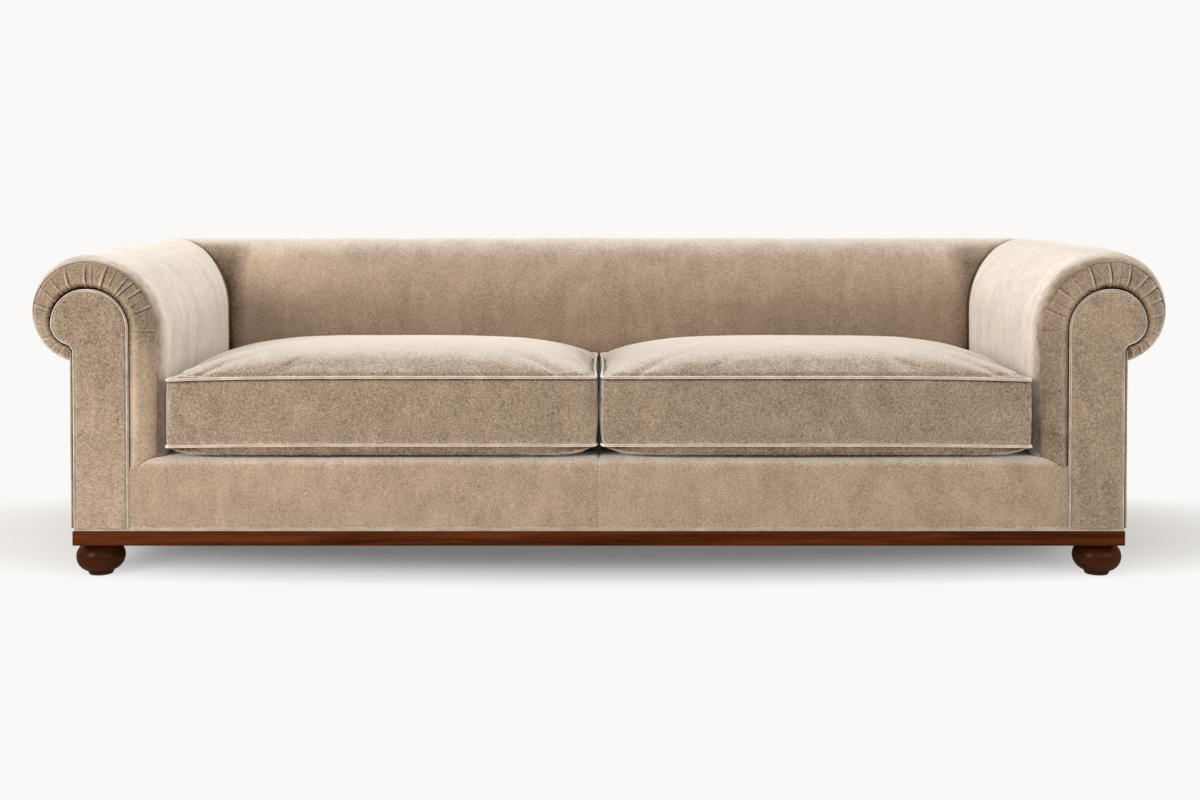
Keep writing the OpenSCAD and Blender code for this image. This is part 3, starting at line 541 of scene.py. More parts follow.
def arm_lift(side, at):
    u = abs(at.x) - inner_x
    from_mitre = abs(back_y + u - at.y) * math.sqrt(0.5)
    front = front_y + nose_depth * (1 - math.cos(math.radians(seam_angle)))
    from_ruche = max(0.0, at.y - front)
    round_scroll = limited((at.z - scroll_from) / scroll_over) if u < wall / 2 else 1.0
    tension = noise.noise(Vector((at.x * 3, at.y * 34, at.z * 3))) * 0.0005
    run = min(1.0, from_ruche / (back_y + u - front))
    on_top = limited((at.z - stuffed_from) / stuffed_over)
    stuffed = arm_stuffing[side] * math.sin(math.pi * math.sqrt(run)) * on_top ** 2
    return (stuffed + drape(at, 7, 0.0016, 3.1 * side) + drape(at, 21, 0.0006, 1.7 * side) + tension
            + beside_seam(from_mitre, mitre_depth, mitre_width)
            + beside_seam(from_ruche, 0.0016, 0.004) * round_scroll)


for side, name in both_sides:
    cover = panel(arm_columns, arm_rows, lambda i, j: arm_cover_point(side, i, j),
                  (side * (inner_x + 0.16), -0.05, 0.50))
    raised(cover, lambda at: arm_lift(side, at))
    covering("arm_" + name, cover, arm_velvet, "arm_cover_" + name)


# Ruched bands: a strip of velvet round each arm front, gathered by hand into pleats where it turns the
# scroll and flat down the leg, sewn to the arm cover with a fine corded seam.
ruche_columns, ruche_leg_columns, ruche_rows = 760, 60, 46
ruche_start = 5.5
ruche_marks = ([i / ruche_leg_columns for i in range(ruche_leg_columns)]
               + even_marks(lambda mark, low: (scroll_outline(mark, low) + roll_outline(mark, low)) / 2,
                            1, last_mark, ruche_columns - ruche_leg_columns))
band_width = 0.060
# Each pleat: its mark at the facing and at the seam, its height and width in mm, and where it is deepest,
# from 1 at the facing to -1 at the seam
left_pleats = (
    (11.92, 12.34, 1.6, 2.8, 1.0), (10.72, 10.60, 3.4, 3.0, 0.9), (8.84, 8.78, 3.2, 2.8, 1.0),
    (8.20, 8.30, 1.2, 2.6, 0.6), (7.14, 7.22, 4.0, 3.2, 0.7), (6.28, 6.52, 1.2, 2.6, 0.2),
    (5.42, 5.56, 2.2, 2.4, 0.2), (5.04, 5.02, 2.4, 2.4, 0.0), (4.16, 4.28, 3.0, 2.8, -1.0),
    (3.40, 3.60, 0.8, 2.6, 0.0), (2.62, 2.92, 2.4, 2.6, -1.0), (1.00, 1.10, 1.4, 2.2, -0.6),
    (13.10, 13.50, 1.0, 3.0, 0.6), (14.42, 15.08, 1.5, 2.8, 0.3), (16.60, 16.80, 0.9, 3.0, 0.5),
    (18.58, 18.28, 1.7, 2.6, 0.3), (20.14, 19.46, 2.0, 2.6, 0.0), (21.30, 20.40, 2.4, 2.4, 0.2),
    (21.84, 21.40, 2.4, 2.4, 0.2))
right_pleats = (
    (7.02, 7.22, 3.8, 3.0, 0.6), (8.84, 8.66, 3.2, 2.8, 0.2), (9.70, 9.60, 1.0, 2.8, 0.4),
    (10.72, 10.54, 3.6, 3.0, 0.6), (11.74, 12.36, 2.4, 2.6, -0.2), (12.98, 13.50, 2.4, 2.6, -0.3),
    (14.06, 14.70, 1.7, 2.6, -0.4), (15.60, 15.90, 1.0, 2.8, 0.3), (17.66, 17.90, 1.5, 2.6, 0.0),
    (19.36, 19.28, 2.2, 2.6, -0.4), (20.80, 20.20, 2.2, 2.4, 0.0), (21.80, 21.30, 2.4, 2.4, 0.2),
    (5.60, 5.70, 1.2, 2.6, 0.3), (4.34, 4.48, 2.2, 2.6, -0.7), (3.20, 3.50, 1.0, 2.6, 0.0),
    (2.36, 2.74, 2.0, 2.6, -0.4), (1.00, 1.12, 1.0, 2.4, -0.5))
ridge_share, crease_share, dip_share = 1.0, 1.5, 0.6
pleat_painted_light, full_fold = 0.55, 0.003


def ruche_turn(j):
    return ruche_start + (seam_angle - ruche_start) * (j / ruche_rows) ** 1.25


def groove(mark):
    """Depth and width of the gap beside the facing: deepest down the leg, where the band bulges most."""
    share = limited((8 - mark) / 6) * (0.3 + 0.7 * min(1.0, 4 * mark))
    return 0.0095 + 0.0065 * share, 0.0032 - 0.0004 * share


def behind_band(side, y, z):
    """A point in the middle of the scroll, from which the band stands out."""
    return Vector((side * (inner_x + scroll_u), y, min(z, tip_z)))


def pleated(side, pleats, i, j):
    """The plain band's point, moved for its bulge, its pleats and both seams, with its painted light: a
    painted highlight on each pleat's ridge and the groove's edge, painted shade in its crease, the groove and
    beside the seam.
    """
    mark, turn = ruche_marks[i], ruche_turn(j)
    across = (turn - ruche_start) / (seam_angle - ruche_start)
    at = arm_point(mark, turn, side)
    out = (at - behind_band(side, front_y + nose_depth, at.z)).normalized()
    lift = tone = 0.0
    for start, end, high, wide, deepest in pleats:
        height, width = high / 1000, wide / 1000
        middle = start + (end - start) * across
        if abs(mark - middle) > 1.2:
            continue
        off = (at - arm_point(middle, turn, side)).length * (side if mark > middle else -side)
        fade = 1 - min(1.0, abs((1 - deepest) / 2 - across)) ** 1.5
        ridge = bell(off + 0.8 * width, 0.8 * width)
        crease = bell(off - 0.45 * width, 0.5 * width)
        dip = bell(off, 3.0 * width)
        lift += height * fade * (ridge_share * ridge - crease_share * crease - dip_share * dip)
        # Painted highlight on the ridge and painted shade in the crease
        tone += min(1.0, height / full_fold) * fade * pleat_painted_light * (ridge - crease)
    bulge = 0.0034 * bell(across - 0.20, 0.17) * min(1.0, 3 * mark)
    swell = 0.0012 * math.sin(math.pi * across) + drape(at, 30, 0.0010, side * 5.3)
    round_scroll = limited((mark - 1.5) / 2.5)
    from_facing, from_seam = across * band_width, (1 - across) * band_width
    end_tuck = 0.016 * max(0.0, (i - ruche_columns + 12) / 12) ** 2
    into_seams = (beside_seam(from_facing, *groove(mark))
                  + beside_seam(from_seam, 0.0018, 0.0030) * round_scroll)
    # Painted highlight at the groove's edge, painted shade in the groove and beside the seam
    tone += (0.16 * bell(from_facing - 0.006, 0.004) - 0.9 * bell(from_facing, 0.0028)
             - 0.45 * bell(from_seam, 0.0022) * round_scroll)
    return at + out * (lift + bulge + swell + into_seams - end_tuck), tone


def cord_piece(name, lines, radius, finish, body, material_slot, *nodes, sides=10):
    """Piping: velvet sewn round a cord, as tubes along one or more lines. A line is (points, closed)."""
    curve = bpy.data.curves.new(name, "CURVE")
    curve.dimensions = "3D"
    curve.bevel_depth = radius
    curve.bevel_resolution = sides // 2 - 2
    curve.use_fill_caps = True
    for points, closed in lines:
        line = curve.splines.new("POLY")
        line.points.add(len(points) - 1)
        for knot, at in zip(line.points, points):
            knot.co = (*at, 1)
        line.use_cyclic_u = closed
    holder = bpy.data.objects.new(name + "_line", curve)
    mesh = bpy.data.meshes.new_from_object(holder)
    bpy.data.objects.remove(holder)
    mesh.name = name
    return placed(name, mesh, finish, body, material_slot, *nodes)


def corded_velvet(name, dark, light):
    """The same velvet cut on the bias and stretched over the cord, lighter partly as its pile opens and
    partly as a painted highlight, with a painted sheen where it turns away.
    """
    finish = new_finish(name, 0.7)
    worn = ranged(finish, pattern(finish, (26, 26, 26), 3.0, 0.6, 0.4), 0.3, 0.7)
    pile = ranged(finish, pattern(finish, (560, 560, 560), 1.0, 0.5), 0.25, 0.75)
    nap = summed(finish, ((worn, 0.6), (pile, 0.4)))
    coloured(finish, nap, dark, light)
    embossed(finish, pile, 0.0003, 0.6)
    lifted_by_painted_sheen(finish, nap, (0.95, 0.87, 0.78), 0.2, 0.08, 0.60, 1.0)
    set_surface(finish, {"Specular IOR Level": 0.15, "Sheen Weight": 1.0, "Sheen Roughness": 0.4,
                         "Sheen Tint": (1.0, 0.94, 0.88, 1)})
    return finish


piping_velvet = corded_velvet("piping_velvet", (0.34, 0.25, 0.178), (0.56, 0.445, 0.34))
seam_cord, seam_cord_start, seam_cord_end = 0.0011, 3.2, 17.0
# Painted light on the bands: the left one lighter down the leg and darker over the crown and outer roll, the
# right one darker, most down the leg; both a little lighter overall
ruche_painted_light = {"left": ((2, 0.40, 0.56, 0.28, -0.28), (0, -1.15, -1.06, -0.02, 0.0)),
                "right": ((2, 0.40, 0.56, -0.30, -0.18),)}
for side, name, pleats in ((-1, "left", left_pleats), (1, "right", right_pleats)):
    band = panel(ruche_columns, ruche_rows, lambda i, j: pleated(side, pleats, i, j),
                 (side * (inner_x + scroll_u), front_y + nose_depth, 0.50))
    ruche_velvet = velvet("ruche_velvet_" + name, (24, 24, 24), 1.05, ruche_painted_light[name], (0.45, 1.0, 0.45))
    covering("ruche_" + name, band, ruche_velvet, "arm_ruche_" + name)
    seam_line = []
    for mark in [m for m in ruche_marks[::3] if seam_cord_start < m < seam_cord_end]:
        from_end = min(mark - seam_cord_start, seam_cord_end - mark)
        sunk = 0.0022 * math.exp(-from_end / 0.6)
        at = arm_point(mark, seam_angle, side)
        seam_line.append(at - (at - behind_band(side, at.y, at.z)).normalized() * sunk)
    cord_piece("ruche_seam_cord_" + name, [(seam_line, False)], seam_cord, ruche_velvet, "root", "piping",
               sides=8)


# Facings: a flat scroll-shaped panel on each arm front, a thin pad under velvet on a board, tacked over
# the ends of the band, with piping sewn all round it.
pipe_radius = 0.00275
facing_edge = pipe_radius + 0.0003
facing_pad, facing_thick = 0.0044, 0.007
facing_outer, facing_depth = wall - 0.0085, 0.0012
neck_turn = math.radians(tip_turn)
neck_radius = (tip_u + scroll_tip * math.cos(neck_turn) - facing_outer) / (1 - math.cos(neck_turn))
neck_u = facing_outer + neck_radius
neck_z = tip_z - (scroll_tip + neck_radius) * math.sin(neck_turn)
cover_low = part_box("arm_facing_left")[0].z
facing_columns, facing_rows = 36, 150
leg_inset, crown_inset, tip_inset = 0.001, 0.0060, 0.003


def line_at(points, share):
    """A point at a share of the length of a line of points."""
    run = run_along(points)
    at, part = found_on(run, run[-1] * share)
    return points[at - 1].lerp(points[at], part)


def inner_edge(inset):
    """Up the facing's inner leg and round the crown to its top."""
    u, crown_z, steps = nose_width + inset + leg_inset, scroll_z - scroll_crown, 40
    leg = [Vector((u, cover_low)), Vector((u, crown_z - 0.06))]
    more = (crown_inset - leg_inset) / steps
    radius = scroll_crown - (inset + leg_inset)
    round_crown = [on_arc(scroll_u, crown_z, radius - more * i, 180 - 90 * i / steps)
                   for i in range(steps + 1)]
    return leg + round_crown


def outer_edge(inset):
    """Up the outer leg, out round the neck and the tip, and over the shoulder to the top."""
    neck_steps, steps = 12, 24
    neck = [on_arc(neck_u, neck_z, neck_radius + inset + tip_inset * share, 180 - tip_turn * share)
            for share in [i / neck_steps for i in range(neck_steps + 1)]]
    tip = [on_arc(tip_u, tip_z, scroll_tip - inset - tip_inset, -tip_turn + tip_turn * i / steps)
           for i in range(steps + 1)]
    more = (crown_inset - tip_inset) / steps
    shoulder = [on_arc(scroll_u, tip_z, scroll_shoulder - inset - tip_inset - more * i, 90 * i / steps)
                for i in range(steps + 1)]
    return [Vector((facing_outer - inset, cover_low))] + neck + tip + shoulder


def facing_point(side, i, j):
    share = j / facing_rows
    left, right = line_at(inner_edge(facing_edge), share), line_at(outer_edge(facing_edge), share)
    across = 0.5 - 0.5 * math.cos(math.pi * i / facing_columns)
    u, z = left.lerp(right, across)
    from_edge = min((right - left).length * across * (1 - across) * 2, (1 - share) * 0.4)
    puff = facing_pad * (0.75 * (1 - math.exp(-from_edge / 0.0022))
                         + 0.25 * (1 - math.exp(-from_edge / 0.02)))
    at = Vector((side * (inner_x + u), front_y + facing_depth - puff, z))
    at.y -= drape(at, 14, 0.0007, 4.4 * side)
    return at


facing_cord_velvet = corded_velvet("facing_cord_velvet", (0.24, 0.17, 0.115), (0.46, 0.36, 0.27))
# Painted light on the facings: the left one lighter low and darker high, the right one nearly even, both a
# little darker overall
facing_painted_light = {"left": (2, 0.15, 0.58, 0.22, -0.22), "right": (2, 0.15, 0.58, -0.04, 0.02)}
for side, name in both_sides:
    facing_velvet = velvet("facing_velvet_" + name, (44, 44, 9), 0.95, (facing_painted_light[name],), speckle=1.1)
    facing = panel(facing_columns, facing_rows, lambda i, j: facing_point(side, i, j),
                   (side * (inner_x + 0.12), front_y + 0.5, 0.35))
    piece = covering("facing_" + name, facing, facing_velvet, "arm_facing_" + name, facing_thick)
    outline = inner_edge(0) + outer_edge(0)[::-1][1:]
    line = [Vector((side * (inner_x + u), front_y + facing_depth, z)) for u, z in outline]
    cord_piece("facing_cord_" + name, [(line, False)], pipe_radius, facing_cord_velvet, "root", "piping",
               "facing_piping_" + name)


# Outside arm covers: a flat sheet of velvet on each side, hung from under the roll, pulled down over the
# frame and tacked under the base piping. Its front edge is turned under in a small rolled hem.
roll_drop = math.sqrt(roll_radius ** 2 - (wall - velvet_thick - crown_radius) ** 2)
under_roll = arm_top - roll_radius - roll_drop - 0.0006
hem_out, hem_radius, hem_y, hem_columns = -0.0005, 0.0025, front_y + 0.0050, 14
outside_velvet = velvet("outside_velvet", (40, 40, 8))


def outside_top(y):
    """Height of the outside cover's top edge, which climbs behind the scroll's tip at the front."""
    turn = math.acos(max(0.0, 1 - (y - front_y) / nose_depth))
    tip = tip_z - scroll_tip * math.sin(math.radians(tip_turn))
    return tip * (1 - math.sin(turn)) + under_roll * math.sin(turn) - 0.0008 * math.cos(turn)


outside_columns, outside_rows = 110, 50
# The first column tucks in behind the hem, with painted shade in the tuck
tuck_y, tuck_out, tuck_painted_shade = front_y + 0.0075, -0.0080, -0.9
for side, name in both_sides:
    def outside_point(i, j):
        share_up, tone = j / outside_rows, 0.0
        if i == 0:
            y, out, tone = tuck_y, tuck_out, tuck_painted_shade
        elif i <= hem_columns:
            turn = math.pi * (1 + (i - 1) / (hem_columns - 1))
            y, out = hem_y + hem_radius * math.sin(turn), hem_out + hem_radius * math.cos(turn)
        else:
            y = hem_y + (panel_y - hem_y) * ((i - hem_columns) / (outside_columns - hem_columns)) ** 1.6
            out = hem_out + hem_radius
        z = cover_low + (outside_top(y) - cover_low) * share_up
        out *= (1 - math.exp(-80 * min(share_up, 1 - share_up))) * (1 - math.exp(-(panel_y - y) / 0.01))
        at = Vector((side * (inner_x + wall - 0.0008 + out), y, z))
        at.x += side * drape(at, 9, 0.0010, side * 2.9)
        return at, tone

    sheet = panel(outside_columns, outside_rows, outside_point, (side * inner_x, 0, 0.3))
    piece = covering("outside_arm_" + name, sheet, outside_velvet, "outside_arm_cover_" + name)


# Back cover: one width of velvet each side of a flat centre seam, over the inside of the back, the crown
# and the roll, and tacked under it. Both ends are mitred and sewn to the arm covers.
# Painted light on the back: darker low and lighter high, lighter towards both ends and towards the left end
back_painted_light = ((2, 0.40, 0.62, -0.12, 0.10), (0, 0.50, 0.85, 0.0, 0.18, True), (0, -0.90, -0.50, 0.16, 0.0))
back_velvet = velvet("back_velvet", (30, 9, 9), painted_ramps=back_painted_light, speckle=0.85)
back_columns, back_rows = 110, 260
back_marks = even_marks(roll_outline, 0, last_mark, back_columns)
centre_seam, centre_depth, centre_width = -0.003, 0.0006, 0.003
corner_from, corner_over = 0.89, 0.045
left_corner_painted_shade, right_corner_painted_shade = -1.0, -0.65


def back_point(i, j):
    """Painted shade darkens the inner face towards both corners, more on the left."""
    u, z = roll_outline(back_marks[i], seat_top(back_y) + 0.0003)
    x = (inner_x + u) * (2 * j / back_rows - 1)
    on_inner_face = limited((crown_marks - 1 - back_marks[i]) / 3)
    in_corner = limited((abs(x) - corner_from) / corner_over)
    corner_painted_shade = left_corner_painted_shade if x < 0 else right_corner_painted_shade
    return Vector((x, back_y + u, z)), corner_painted_shade * in_corner * on_inner_face


def back_lift(at):
    from_mitre = (inner_x + at.y - back_y - abs(at.x)) * math.sqrt(0.5)
    return (drape(at, 6, 0.0018, 6.1) + drape(at, 19, 0.0007, 2.3)
            + beside_seam(from_mitre, mitre_depth, mitre_width)
            + beside_seam(at.x - centre_seam, centre_depth, centre_width))


back = panel(back_columns, back_rows, back_point, (0, back_y + 0.16, 0.50))
raised(back, back_lift)
covering("back", back, back_velvet, "back_cover")


# Outside back cover: a flat sheet like the outside arms, the whole length of the sofa. It hangs from under
# the roll and closes the back of the frame.
outside_back_columns, outside_back_rows = 220, 44
outside_back_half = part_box("outside_back_cover")[1].x


def stretched_puff(share_along, share_up, height):
    """A sheet held at its edges stands out a little in the middle."""
    edge = min(share_along, 1 - share_along, 4 * share_up, 4 * (1 - share_up))
    return height * (1 - math.exp(-edge / 0.05))


def outside_back_point(i, j):
    x = outside_back_half * (2 * i / outside_back_columns - 1)
    z = cover_low + (under_roll - cover_low) * j / outside_back_rows
    out = stretched_puff(i / outside_back_columns, j / outside_back_rows, 0.0022) - 0.0010
    at = Vector((x, panel_y + out, z))
    at.y += drape(at, 7, 0.0013, 8.7) + beside_seam(x - centre_seam, centre_depth, centre_width)
    return at


outside_back = panel(outside_back_columns, outside_back_rows, outside_back_point, (0, 0, 0.3))
piece = covering("outside_back", outside_back, outside_velvet, "outside_back_cover")


# Front rail cover: two widths of velvet joined by an upright seam in the middle, over a foam edge, from
# the base piping up round the rail and a hand's width on to the deck.
# The rail's velvet is a little lighter overall, as painted light
rail_velvet = velvet("rail_velvet", (30, 12, 12), 1.08, sheen=(0.10, 0.75, 0.72), speckle=0.85)
rail_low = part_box("front_rail_cover_left")[0].z
lip_depth = 0.092
rail_columns, rail_rows = 190, 70
# The ends go under the facings and sink there, with painted shade along the facing's cord
rail_tuck, rail_sink, sink_from, sink_over = 0.010, 0.005, inner_x + 0.0635, 0.005
cord_from, cord_over, cord_painted_shade = inner_x + 0.0625, 0.003, -0.9
# A painted highlight along the rail's rounded crest, and a painted shadow on the lip under the cushions
crest_painted_highlight, crest_width, cushion_painted_shadow, cushion_width = 0.25, 0.006, -0.5, 0.008


def rail_line(share):
    """Up the front of the rail, round its edge and back over the deck."""
    rise, bend = rail_height - rail_low, rail_radius * (math.pi / 2 - deck_slope)
    run = share * (rise + bend + lip_depth)
    if run < rise:
        return front_y, rail_low + run
    if run < rise + bend:
        turn = math.pi - (run - rise) / rail_radius
        return edge_y + rail_radius * math.cos(turn), rail_height + rail_radius * math.sin(turn)
    y = edge_y + max(0.0, run - rise - bend)
    return y, seat_top(y)


def rail_lift(at):
    front = max(0.0, 1 - abs(at.z - 0.185) / 0.075) if at.y < edge_y else 0.0
    pulled = noise.noise(Vector((at.x * 34, at.z * 5, 0.7))) * 0.0005
    return (0.0016 * front ** 0.5 + drape(at, 6, 0.0013, 9.9) + pulled
            + beside_seam(at.x, 0.0016, 0.0035) + beside_seam(at.z - rail_low, 0.0012, 0.004))


for side, name in both_sides:
    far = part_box("front_rail_cover_" + name)[0 if side < 0 else 1].x + side * rail_tuck
    near = side * 0.00015

    def rail_point(i, j):
        y, z = rail_line(j / rail_rows)
        share = i / rail_columns
        x = near + (far - near) * share ** 1.15
        y += rail_sink * limited((abs(x) - sink_from) / sink_over)
        beside_cord = cord_painted_shade * limited((abs(x) - cord_from) / cord_over)
        crest = crest_painted_highlight * bell(z - rail_height - 0.020, crest_width) if y < edge_y else 0.0
        under_cushions = cushion_painted_shadow * bell(y - edge_y - 0.006, cushion_width)
        return Vector((x, y, z)), beside_cord + crest + under_cushions

    strip = panel(rail_columns, rail_rows, rail_point, (side * 0.5, edge_y + 0.05, 0.15))
    raised(strip, rail_lift)
    covering("rail_" + name, strip, rail_velvet, "front_rail_cover_" + name)


# Base piping: one cord all round the bottom edge, where the covers meet the plinth. It covers the line
# where they are tacked.
base_low, base_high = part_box("base_piping")
base_x, base_front, base_back = base_high.x - pipe_radius, base_low.y + pipe_radius, base_high.y - pipe_radius
base_z = (base_low.z + base_high.z) / 2
base_turn = 0.006


def rounded_corners(half_x, low_y, high_y, radius, z, steps=6):
    """A closed rectangle with rounded corners, as a line of points."""
    points = []
    corners = ((half_x, low_y, -90), (half_x, high_y, 0), (-half_x, high_y, 90), (-half_x, low_y, 180))
    for x, y, start in corners:
        cx, cy = x - math.copysign(radius, x), y + (radius if y == low_y else -radius)
        for i in range(steps + 1):
            turn = math.radians(start + 90 * i / steps)
            points.append(Vector((cx + radius * math.cos(turn), cy + radius * math.sin(turn), z)))
    return points


base_cord_velvet = corded_velvet("base_cord_velvet", (0.28, 0.205, 0.145), (0.46, 0.36, 0.27))
cord_piece("base_cord", [(rounded_corners(base_x, base_front, base_back, base_turn, base_z), True)],
           pipe_radius, base_cord_velvet, "root", "piping", "base_piping", sides=12)


# Deck cover: plain velvet stretched over the deck pad under the cushions, sewn to the front strip. It is
# seen only when they are lifted off.
def on_deck(x, y, z):
    """A point of the deck's own slope, which starts at the top of the rails."""
    c, s = math.cos(deck_slope), math.sin(deck_slope)
    return Vector((x, edge_y + y * c + z * s, rail_height - y * s + z * c))


deck_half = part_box("deck_cover")[1].x
deck_start, deck_end, deck_thick = 0.0934, 0.6550, 0.0015
deck_velvet = velvet("deck_velvet", (9, 30, 9))
deck_columns, deck_rows = 150, 48


def deck_point(i, j):
    x = deck_half * (2 * i / deck_columns - 1)
    y = deck_start + (deck_end - deck_start) * j / deck_rows
    dent = 0.0016 * noise.noise(Vector((x * 7, y * 7, 1.3))) + beside_seam(y - deck_start, 0.0010, 0.004)
    return on_deck(x, y, rail_radius - 0.0004 + min(dent, 0.0003))


deck = panel(deck_columns, deck_rows, deck_point, (0, 0, -1))
covering("deck", deck, deck_velvet, "deck_cover", deck_thick)


# Dust cover: thin black non-woven cloth stapled under the base frame, cut out round the corner blocks. It
# sags a little between the rails.
dust_cloth = fibrous("dust_cloth", 0.9, (380, 380, 380), 4.0, 0.75,
                     (0.006, 0.006, 0.007), (0.034, 0.034, 0.037), 0.0003)
dust_low, dust_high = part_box("dust_cover")
dust_size, dust_middle, dust_sag = dust_high - dust_low, (dust_low + dust_high) / 2, 0.010
dust = merged_copy("dust_cover", flat=True)
ease(dust, [e for e in dust.edges if abs((e.verts[0].co - e.verts[1].co).z) < 0.0002], 0.0003, 1)
for axis, across, strips in ((0, Vector((1, 0, 0)), 40), (1, Vector((0, 1, 0)), 16)):
    for step in range(1, strips):
        cut = dust_low[axis] + dust_size[axis] * step / strips
        bmesh.ops.bisect_plane(dust, geom=dust.verts[:] + dust.edges[:] + dust.faces[:],
                               plane_co=across * cut, plane_no=across)
for v in dust.verts:
    share_x = 1 - (v.co.x / dust_high.x) ** 2
    share_y = 1 - ((v.co.y - dust_middle.y) / (dust_size.y / 2)) ** 2
    v.co.z -= dust_sag * max(0.0, share_x * share_y) * (1 + 0.4 * noise.noise(v.co * 6))
piece = placed("dust_sheet", dust, dust_cloth, "root", "dust_cloth", "dust_cover")


# Seat cushions: box cushions of velvet over foam and down, a crowned top and underside joined by an
# upright border, with piping in both seams. The filling presses the panels out, and the seams hold them
# back, so the cloth puckers beside the piping. They lie loose on the deck and lift off.
cushion_x, cushion_y = 0.464, 0.29815
form_half_x, form_half_y = 0.4557, 0.31385
seam_low, seam_top = 0.056, 0.200
crown_height, under_drop = 0.052, 0.0268
side_draw, corner_radius, border_bulge = 0.004, 0.015, 0.004
corner_fall, front_lean = 0.006, 0.005
welt_radius, welt_gap = 0.003, 0.0003
cushion_columns, cushion_rows, border_rows = 110, 76, 16
seam_middle = (seam_low + seam_top) / 2
# The cushions' velvet is darker overall, as painted shade
cushion_velvet = velvet("cushion_velvet", (22, 14, 14), 0.85, sheen=(0.06, 0.85, 0.64), speckle=1.2)


def fall(share, shape, power):
    """1 in the middle of a panel and 0 at its edge, flatter or rounder by its shape and power."""
    return max(0.0, 1 - abs(share) ** shape) ** power


def cushion_plan(s, t, outset=0.0):
    """Place in plan of a point of the square from -1 to 1: sides drawn in, corners rounded."""
    half_x, half_y = form_half_x + outset, form_half_y + outset
    x = s * (half_x - side_draw * (1 - t * t))
    y = t * (half_y - side_draw * (1 - s * s) * (1 - t) / 2) - front_lean * min(0.0, t) ** 2
    radius = corner_radius + outset
    core_x = max(-(half_x - radius), min(half_x - radius, x))
    core_y = max(-(half_y - radius), min(half_y - radius, y))
    off = Vector((x - core_x, y - core_y))
    if off.x and off.y:
        off *= max(abs(off.x), abs(off.y)) / off.length
    return core_x + off.x, core_y + off.y


def seam_fall(side, s):
    """Both seams sink towards the end beside the arm."""
    return -corner_fall * max(0.0, s * side) ** 3


def crown(s, t):
    return crown_height * fall(s, 4.2, 0.7) * fall(t, 3.0, 0.6)


def under(s, t):
    return under_drop * min(1.0, 1.15 * fall(s, 5, 0.6) * fall(t, 30, 0.35))


def spread(share):
    """A little closer towards both ends, where the form turns fastest."""
    return 0.5 * math.sin(math.pi * (share - 0.5)) + share - 0.5


def border_shares(columns, rows):
    """The square's edge, once round, in steps that match the top's."""
    return ([(spread(i / columns), -1.0) for i in range(columns)]
            + [(1.0, spread(j / rows)) for j in range(rows)]
            + [(spread(i / columns), 1.0) for i in range(columns, 0, -1)]
            + [(-1.0, spread(j / rows)) for j in range(rows, 0, -1)])


def cushion_form(side):
    """Top, underside and border as grids, joined into one closed skin."""
    skin = bmesh.new()
    for level, height, sign in ((seam_top, crown, 1), (seam_low, under, -1)):
        before = set(skin.verts)
        bmesh.ops.create_grid(skin, x_segments=cushion_columns, y_segments=cushion_rows, size=1.0)
        for v in set(skin.verts) - before:
            i = round((v.co.x + 1) / 2 * cushion_columns)
            j = round((v.co.y + 1) / 2 * cushion_rows)
            s, t = spread(i / cushion_columns), spread(j / cushion_rows)
            x, y = cushion_plan(s, t)
            sunk = seam_fall(side, s) * max(abs(s), abs(t)) ** 4 * (1.0 if sign > 0 else 0.5)
            v.co = (x, y, level + sign * height(s, t) + sunk)
    ring = border_shares(cushion_columns, cushion_rows)
    before = set(skin.verts)
    bmesh.ops.create_grid(skin, x_segments=len(ring), y_segments=border_rows, size=1.0)
    for v in set(skin.verts) - before:
        i = round((v.co.x + 1) / 2 * len(ring)) % len(ring)
        share = (v.co.y + 1) / 2
        bulge = border_bulge * (1 - (2 * share - 1) ** 4)
        x, y = cushion_plan(*ring[i], outset=bulge)
        high = 0.5 + 0.5 * spread(share)
        sunk = seam_fall(side, ring[i][0]) * (0.5 + 0.5 * high)
        v.co = (x, y, seam_low + (seam_top - seam_low) * high + sunk)
    bmesh.ops.remove_doubles(skin, verts=skin.verts[:], dist=0.00002)
    bmesh.ops.recalc_face_normals(skin, faces=skin.faces[:])
    skin.normal_update()
    return skin


def filled(skin, seams, slack, cap, frames=20):
    """Cloth under pressure from inside, held at its seams and cut a little larger than they are. No point
    moves further than the cap, and the underside doesn't sink below the form that rests on the deck."""
    mesh = bpy.data.meshes.new("filling")
    skin.to_mesh(mesh)
    holder = bpy.data.objects.new("filling", mesh)
    bpy.context.scene.collection.objects.link(holder)
    held = holder.vertex_groups.new(name="seams")
    held.add(seams, 1.0, "REPLACE")
    cloth = holder.modifiers.new("Filling", "CLOTH")
    cover = cloth.settings
    cover.quality = 6
    cover.mass = 0.3
    cover.tension_stiffness = cover.compression_stiffness = 15
    cover.shear_stiffness = 5
    cover.bending_stiffness = 0.3
    cover.use_pressure = True
    cover.uniform_pressure_force = 4
    cover.shrink_min = -slack
    cover.vertex_group_mass = "seams"
    cover.effector_weights.gravity = 0
    cloth.point_cache.frame_start, cloth.point_cache.frame_end = 1, frames
    scene = bpy.context.scene
    for frame_number in range(1, frames + 1):
        scene.frame_set(frame_number)
    swollen = holder.evaluated_get(bpy.context.evaluated_depsgraph_get()).to_mesh()
    moves = [after.co - before.co for after, before in zip(swollen.vertices, skin.verts)]
    scene.frame_set(1)
    bpy.data.objects.remove(holder)
    for v, move in zip(skin.verts, moves):
        formed = v.co.z
        v.co += move * (cap / (cap + move.length))
        if formed < seam_low - 0.0005:
            v.co.z = min(v.co.z, formed)
    skin.normal_update()


pucker_height, pucker_width, pucker_reach = 0.0022, 0.013, 0.04
under_swell = 0.0006


